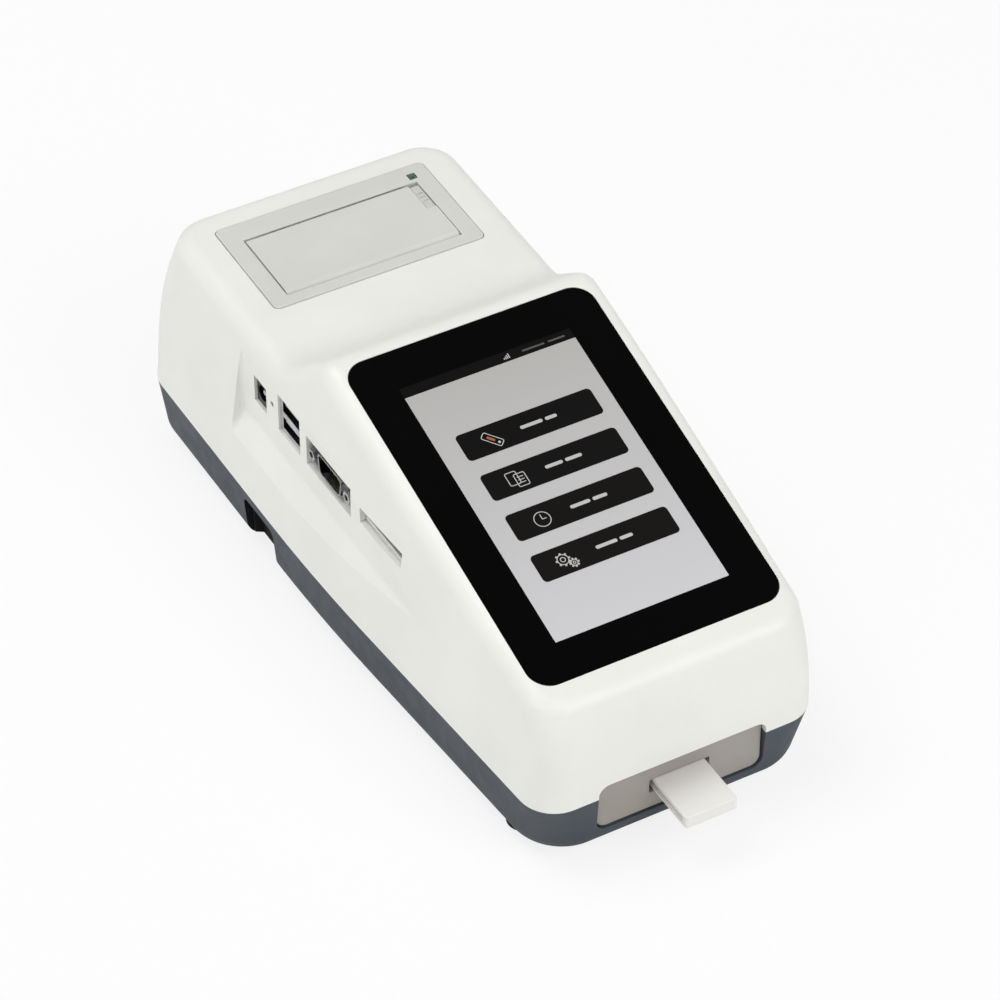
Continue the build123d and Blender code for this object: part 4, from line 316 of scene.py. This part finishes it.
# painted shade in the card slot
card_white.patch(port_mask(card_white, (-60.0, -30.0), CARD_Y, CARD_Z, 13.0, 1.3), "1A1A1B")

charge_lens = Surface("charge_lens", "5E615C", 0.2, ior=1.5)
charge_lens.tint(charge_lens.spread(charge_lens.cells(1200), 0, 1), "4E524D", "747872")

# the DC socket: a bright pin
DC_Y = 62.55
DC_Z = 68.0
DC_PIN_HALF = 1.2
jack_black = moulded("jack_black", "0C0C0D", "151516", 0.3)
pin = port_mask(jack_black, (-56.0, -45.0), DC_Y, DC_Z, DC_PIN_HALF, DC_PIN_HALF)
jack_black.patch(pin, "C8C9CB", 1.0)

FINISH = {
    white_shell: ("upper_housing",),
    grey_shell: ("lower_housing",),
    warm_grey: ("front_bezel",),
    rubber: ("grip_liners", "rubber_feet", "platen_roller"),
    zinc: (
        "housing_screws", "display_screws", "lid_hinge_pin", "head_springs", "tear_bar",
        "latch_spring", "cover_screws", "guide_rod", "bed_screws", "optical_screws",
        "board_screws", "port_screws", "strap_screws", "jack_screws",
    ),
    glass_black: ("cover_glass",),
    sheet: ("display_frame", "motor_bracket", "battery_strap"),
    serial_metal: ("serial_socket",),
    usb_metal: ("usb_socket",),
    board: ("display_board", "detector_board", "main_board", "port_board"),
    card_white: ("card_socket",),
    charge_lens: ("charge_lamp",),
    cable_white: ("display_ribbon", "port_ribbon"),
    cover_grey: ("printer_frame", "printer_lid"),
    gear_white: ("platen_gear", "idler_gear", "motor_pinion", "tray_rack", "drive_pinion"),
    can: ("printer_motor", "tray_motor"),
    aluminium: ("print_head",),
    latch_grey: ("lid_latch",),
    lamp_lens: ("status_lamp",),
    tray_white: ("cassette_tray",),
    black_plastic: ("tray_bed", "home_switch", "optical_housing", "power_switch", "power_rocker"),
    lens_glass: ("optical_filter", "collecting_lens"),
    epoxy: ("excitation_lamp", "lcd_panel"),
    chip_black: ("board_parts",),
    jack_black: ("dc_jack",),
    battery_blue: ("battery_pack",),
}
for surface, names in FINISH.items():
    for name in names:
        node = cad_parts[name]
        node.data.materials.clear()
        node.data.materials.append(surface.material)


# ------------------------------------------------------------------ grip sleeves
# the CAD's sleeves stick out of the curved underside, so these are trimmed to end inside it
GRIP_MIDDLE = 54.55
GRIP_REACH = 12.4
SLEEVE_INSET = 0.4
RAY_START = -50.0
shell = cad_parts["lower_housing"]
sleeves_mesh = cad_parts["grip_liners"].data.copy()
for vertex in sleeves_mesh.vertices:
    edge = GRIP_MIDDLE + (GRIP_REACH if vertex.co.y > GRIP_MIDDLE * MM else -GRIP_REACH)
    below = Vector((vertex.co.x, edge * MM, RAY_START * MM))
    found, place, _, _ = shell.ray_cast(below, Vector((0, 0, 1)))
    if found:
        vertex.co.z = max(vertex.co.z, place.z + SLEEVE_INSET * MM)
sleeves = add_object("grip_sleeves", sleeves_mesh)
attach(sleeves, "casing")
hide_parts("grip_liners")


# ------------------------------------------------------------------ latch spring
# the spring sits between its seat and the latch; this copy with its own mesh hangs on the casing
# in place of the CAD one
spring = add_object("latch_coil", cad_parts["latch_spring"].data.copy())
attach(spring, "casing")
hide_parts("latch_spring")
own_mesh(spring)

# ------------------------------------------------------------------ display picture
def screen_point(x, s, layer):
    """Point on the display: x across and s up it, some layers over the glass."""
    on_glass = SCREEN_CENTRE + Vector((x * MM, 0, 0)) + SCREEN_UP * (s * MM)
    return on_glass + SCREEN_OUT * (layer * LAYER * MM)


def round_corners(width, height, radius, steps=6):
    """Outline of a rectangle with round corners about its middle."""
    points = []
    for corner in range(4):
        sign_x = 1 if corner in (0, 3) else -1
        sign_y = 1 if corner in (0, 1) else -1
        for step in range(steps + 1):
            angle = pi / 2 * (corner + step / steps)
            points.append((
                sign_x * (width / 2 - radius) + radius * cos(angle),
                sign_y * (height / 2 - radius) + radius * sin(angle),
            ))
    return points


def circle(radius, steps=32):
    """Outline of a circle about its middle."""
    angles = [2 * pi * i / steps for i in range(steps)]
    return [(radius * cos(angle), radius * sin(angle)) for angle in angles]


class Picture:
    """Flat pieces of one colour on the display, collected into one thin mesh."""

    def __init__(self, name, layer):
        self.name = name
        self.layer = layer
        self.mesh = bmesh.new()

    def trace(self, outline, x, s, turn):
        """Vertices of an outline, turned by some degrees and set down at x and s."""
        rotate = Matrix.Rotation(radians(turn), 2)
        places = [rotate @ Vector(point) for point in outline]
        return [self.mesh.verts.new(screen_point(x + p.x, s + p.y, self.layer)) for p in places]

    def shape(self, outline, x, s, turn=0.0):
        """Add a filled outline."""
        self.mesh.faces.new(self.trace(outline, x, s, turn))

    def ring(self, outer, inner, x, s, turn=0.0):
        """Add the band between two outlines with equally many points."""
        around = self.trace(outer, x, s, turn)
        within = self.trace(inner, x, s, turn)
        count = len(around)
        for i in range(count):
            j = (i + 1) % count
            self.mesh.faces.new((around[i], around[j], within[j], within[i]))

    def finish(self, surface):
        """Give the flat shapes their thickness and put them on the casing."""
        faces = bmesh.ops.extrude_face_region(self.mesh, geom=self.mesh.faces[:])["geom"]
        moved = [part for part in faces if isinstance(part, bmesh.types.BMVert)]
        bmesh.ops.translate(self.mesh, verts=moved, vec=SCREEN_OUT * (LAYER_FILL * LAYER * MM))
        bmesh.ops.recalc_face_normals(self.mesh, faces=self.mesh.faces[:])
        data = bpy.data.meshes.new(self.name)
        self.mesh.to_mesh(data)
        self.mesh.free()
        piece = add_object(self.name, data)
        data.materials.append(surface.material)
        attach(piece, "casing")


# the painted shade on the display picture runs over this range of y
SHADE_START = -100.0
SHADE_END = 5.0


def lit(name, dark, light, glow):
    """Display picture under the glossy glass: slight glow, and painted shade that leaves it
    lighter towards the user.
    """
    surface = Surface(name, light, 0.08, ior=1.5)
    split = surface.nodes.new("ShaderNodeSeparateXYZ")
    surface.links.new(surface.place, split.inputs[0])
    # painted shade: darker away from the user, lighter towards the user
    painted_shade = surface.spread(split.outputs["Y"], 1, 0, SHADE_START * MM, SHADE_END * MM)
    surface.tint(painted_shade, dark, light)
    surface.shader.inputs["Specular IOR Level"].default_value = GLASS_SPECULAR
    surface.vary_roughness(surface.noise(40, 3.0), 0.05, 0.11)
    surface.shader.inputs["Emission Color"].default_value = linear(light)
    surface.shader.inputs["Emission Strength"].default_value = glow
    return surface


picture_light = lit("picture_light", "ACABA8", "C8C7CA", 0.06)
picture_dark = lit("picture_dark", "121111", "191817", 0.0)
picture_dim = lit("picture_dim", "555553", "666664", 0.02)
picture_white = lit("picture_white", "B4B4B2", "C0C0BE", 0.05)
picture_accent = lit("picture_accent", "9A5A3C", "B06A48", 0.1)

area = Picture("screen_area", 1)
area_low = -PICTURE_HALF_LENGTH
area_high = PICTURE_HALF_LENGTH - STATUS_HEIGHT
area_outline = round_corners(2 * PICTURE_HALF_WIDTH, area_high - area_low, PICTURE_CORNER)
area.shape(area_outline, 0, (area_low + area_high) / 2)
area.finish(picture_light)

dark = Picture("screen_buttons", 2)
status_outline = round_corners(2 * PICTURE_HALF_WIDTH, STATUS_HEIGHT, PICTURE_CORNER)
status_line = PICTURE_HALF_LENGTH - STATUS_HEIGHT / 2
dark.shape(status_outline, 0, status_line)
button_rows = [BUTTON_TOP - BUTTON_PITCH * row for row in range(4)]
for s in button_rows:
    dark.shape(round_corners(BUTTON_WIDTH, BUTTON_HEIGHT, BUTTON_CORNER), BUTTON_X, s)
dark.finish(picture_dark)

white = Picture("screen_icons", 3)
dim = Picture("screen_marks", 3)
accent = Picture("screen_accent", 4)
LINE = 0.3
ICON_DROP = -0.4
ICON_CORNER = 0.7
ICON_INNER_CORNER = 0.4


def icon_frame(width, height):
    """Outer and inner outline of an icon's frame, one line apart."""
    return (
        round_corners(width, height, ICON_CORNER),
        round_corners(width - 2 * LINE, height - 2 * LINE, ICON_INNER_CORNER),
    )


# test card, tilted, with its window
CARD_TURN = -46
s = button_rows[0] + ICON_DROP
white.ring(*icon_frame(7.6, 3.0), ICON_X, s, CARD_TURN)
accent.shape(round_corners(3.0, 0.9, 0.2), ICON_X - 0.4, s + 0.4, CARD_TURN)
white.shape(round_corners(0.9, 0.9, 0.3), ICON_X + 1.7, s - 1.8, CARD_TURN)
# two sheets with text lines
SHEET_SHIFT = 1.3
TEXT_PITCH = 1.15
s = button_rows[1] + ICON_DROP
white.ring(*icon_frame(4.2, 5.4), ICON_X - SHEET_SHIFT, s + 0.7)
white.ring(*icon_frame(4.2, 5.4), ICON_X + SHEET_SHIFT, s - 0.6)
for row in range(3):
    line = round_corners(2.3, LINE, 0.1)
    white.shape(line, ICON_X + SHEET_SHIFT, s + 0.6 - TEXT_PITCH * row)
# clock with two hands
CLOCK_RADIUS = 3.0
s = button_rows[2] + ICON_DROP
white.ring(circle(CLOCK_RADIUS), circle(CLOCK_RADIUS - LINE), ICON_X, s)
white.shape(round_corners(LINE, 2.1, 0.1), ICON_X, s + 0.9)
white.shape(round_corners(1.7, LINE, 0.1), ICON_X + 0.7, s)
# two gears
GEAR_TEETH = 8
TOOTH_REACH = 0.22
s = button_rows[3]
for x, rise, radius, hub in ((-1.5, 0.2, 2.1, 1.0), (1.5, -2.2, 1.3, 0.6)):
    white.ring(circle(radius), circle(radius - LINE), ICON_X + x, s + rise)
    white.ring(circle(hub), circle(hub - LINE), ICON_X + x, s + rise)
    for tooth in range(GEAR_TEETH):
        angle = 2 * pi / GEAR_TEETH * tooth
        reach = radius + TOOTH_REACH
        across = ICON_X + x + reach * cos(angle)
        along = s + rise + reach * sin(angle)
        white.shape(round_corners(0.6, 0.7, 0.1), across, along, tooth * 360 / GEAR_TEETH)
# plain bars stand where the menu has its words
WORDS_LENGTH = 12.8
WORD_HEIGHT = 1.3
WORD_CORNER = 0.6
WORD_GAP = 1.0
for first, s in zip((8.4, 6.6, 7.4, 8.0), button_rows):
    second = WORDS_LENGTH - first
    second_start = WORDS_X + WORD_GAP + first
    white.shape(round_corners(first, WORD_HEIGHT, WORD_CORNER), WORDS_X + first / 2, s)
    white.shape(round_corners(second, WORD_HEIGHT, WORD_CORNER), second_start + second / 2, s)
# signal bars and plain marks in the status line
SIGNAL_X = 6.0
SIGNAL_PITCH = 0.65
SIGNAL_FOOT = -1.0
for bar in range(4):
    height = 0.6 + 0.45 * bar
    foot = status_line + SIGNAL_FOOT
    signal = round_corners(0.4, height, 0.1)
    white.shape(signal, SIGNAL_X + SIGNAL_PITCH * bar, foot + height / 2)
for x, width in ((13.0, 8.6), (23.0, 6.4)):
    dim.shape(round_corners(width, 0.7, 0.3), x + width / 2, status_line - 0.1)
dim.finish(picture_dim)
white.finish(picture_white)
accent.finish(picture_accent)

# ------------------------------------------------------------------ floor, light and camera
# solved from the photograph: the camera's turn about the display, shift and distance
FOCAL_PIXELS = 4548.21
FRAME_PIXELS = 1000
SENSOR_WIDTH = 36.0
CAMERA_AZIMUTH = radians(-29.37)
CAMERA_ELEVATION = radians(41.63)
CAMERA_RIGHT = 20.456
CAMERA_UP = 6.008
CAMERA_DISTANCE = 1486.02

right = Vector((cos(CAMERA_AZIMUTH), sin(CAMERA_AZIMUTH), 0))
back = Vector((
    sin(CAMERA_AZIMUTH) * cos(CAMERA_ELEVATION),
    -cos(CAMERA_AZIMUTH) * cos(CAMERA_ELEVATION),
    sin(CAMERA_ELEVATION),
))
up = back.cross(right)
lens_data = bpy.data.cameras.new("camera")
lens_data.sensor_width = SENSOR_WIDTH
lens_data.lens = FOCAL_PIXELS / FRAME_PIXELS * lens_data.sensor_width
camera = add_object("camera", lens_data)
turn = Matrix((right, up, back)).transposed().to_4x4()
offset = -CAMERA_RIGHT * right - CAMERA_UP * up + CAMERA_DISTANCE * back
location = SCREEN_CENTRE + offset * MM
camera.matrix_world = Matrix.Translation(location) @ turn
bpy.context.scene.camera = camera

# a pale floor that shows mostly white to the camera and keeps the shadow
FLOOR_HALF = 6.0
FLOOR_SQUARES = 8
FLOOR_GLOW = 0.82
floor_mesh = bmesh.new()
bmesh.ops.create_grid(
    floor_mesh, x_segments=FLOOR_SQUARES, y_segments=FLOOR_SQUARES, size=FLOOR_HALF,
)
floor_data = bpy.data.meshes.new("floor")
floor_mesh.to_mesh(floor_data)
floor_mesh.free()
floor = add_object("floor", floor_data)
pale = bpy.data.materials.new("pale_floor")
pale.use_nodes = True
tree = pale.node_tree
shader = tree.nodes["Principled BSDF"]
shader.inputs["Base Color"].default_value = linear("F6F6F6")
shader.inputs["Roughness"].default_value = 0.9
glow = tree.nodes.new("ShaderNodeEmission")
glow.inputs["Color"].default_value = linear("FFFFFF")
mix = tree.nodes.new("ShaderNodeMixShader")
path = tree.nodes.new("ShaderNodeLightPath")
share = tree.nodes.new("ShaderNodeMath")
share.operation = "MULTIPLY"
share.inputs[1].default_value = FLOOR_GLOW
tree.links.new(path.outputs["Is Camera Ray"], share.inputs[0])
tree.links.new(share.outputs[0], mix.inputs[0])
tree.links.new(shader.outputs[0], mix.inputs[1])
tree.links.new(glow.outputs[0], mix.inputs[2])
tree.links.new(mix.outputs[0], tree.nodes["Material Output"].inputs["Surface"])
floor_data.materials.append(pale)


LAMP_TARGET = Vector((0, 0, 0.05))


def lamp(name, size, power, place):
    """Soft rectangular lamp aimed at the middle of the object, in metres and watts."""
    data = bpy.data.lights.new(name, "AREA")
    data.shape = "RECTANGLE"
    data.size = size[0]
    data.size_y = size[1]
    data.energy = power
    item = add_object(name, data)
    aim = (LAMP_TARGET - Vector(place)).to_track_quat("-Z", "Y")
    item.matrix_world = Matrix.Translation(place) @ aim.to_matrix().to_4x4()


lamp("key", (1.2, 1.2), 13.5, (0.5, -1.3, 1.3))
lamp("fill", (1.4, 1.0), 3.2, (-1.5, -0.3, 0.9))
lamp("top", (1.0, 1.0), 13.0, (-0.5, 0.4, 1.6))

# a bright room with a dark ceiling, so that the glass stays black from above; the steps
# are the upward part of the direction and the strength of the light from there
WALL_TOP = 0.35
CEILING_START = 0.8
WALL_LIGHT = 0.75
CEILING_LIGHT = 0.12
world = bpy.data.worlds.new("studio")
bpy.context.scene.world = world
world.use_nodes = True
sky = world.node_tree.nodes
wires = world.node_tree.links
direction = sky.new("ShaderNodeSeparateXYZ")
wires.new(sky.new("ShaderNodeTexCoord").outputs["Generated"], direction.inputs[0])
ceiling = sky.new("ShaderNodeMapRange")
ceiling.inputs["From Min"].default_value = WALL_TOP
ceiling.inputs["From Max"].default_value = CEILING_START
ceiling.inputs["To Min"].default_value = WALL_LIGHT
ceiling.inputs["To Max"].default_value = CEILING_LIGHT
wires.new(direction.outputs["Z"], ceiling.inputs["Value"])
wires.new(ceiling.outputs["Result"], sky["Background"].inputs["Strength"])
sky["Background"].inputs["Color"].default_value = linear("FFFFFF")
bpy.context.scene.view_settings.view_transform = "Standard"
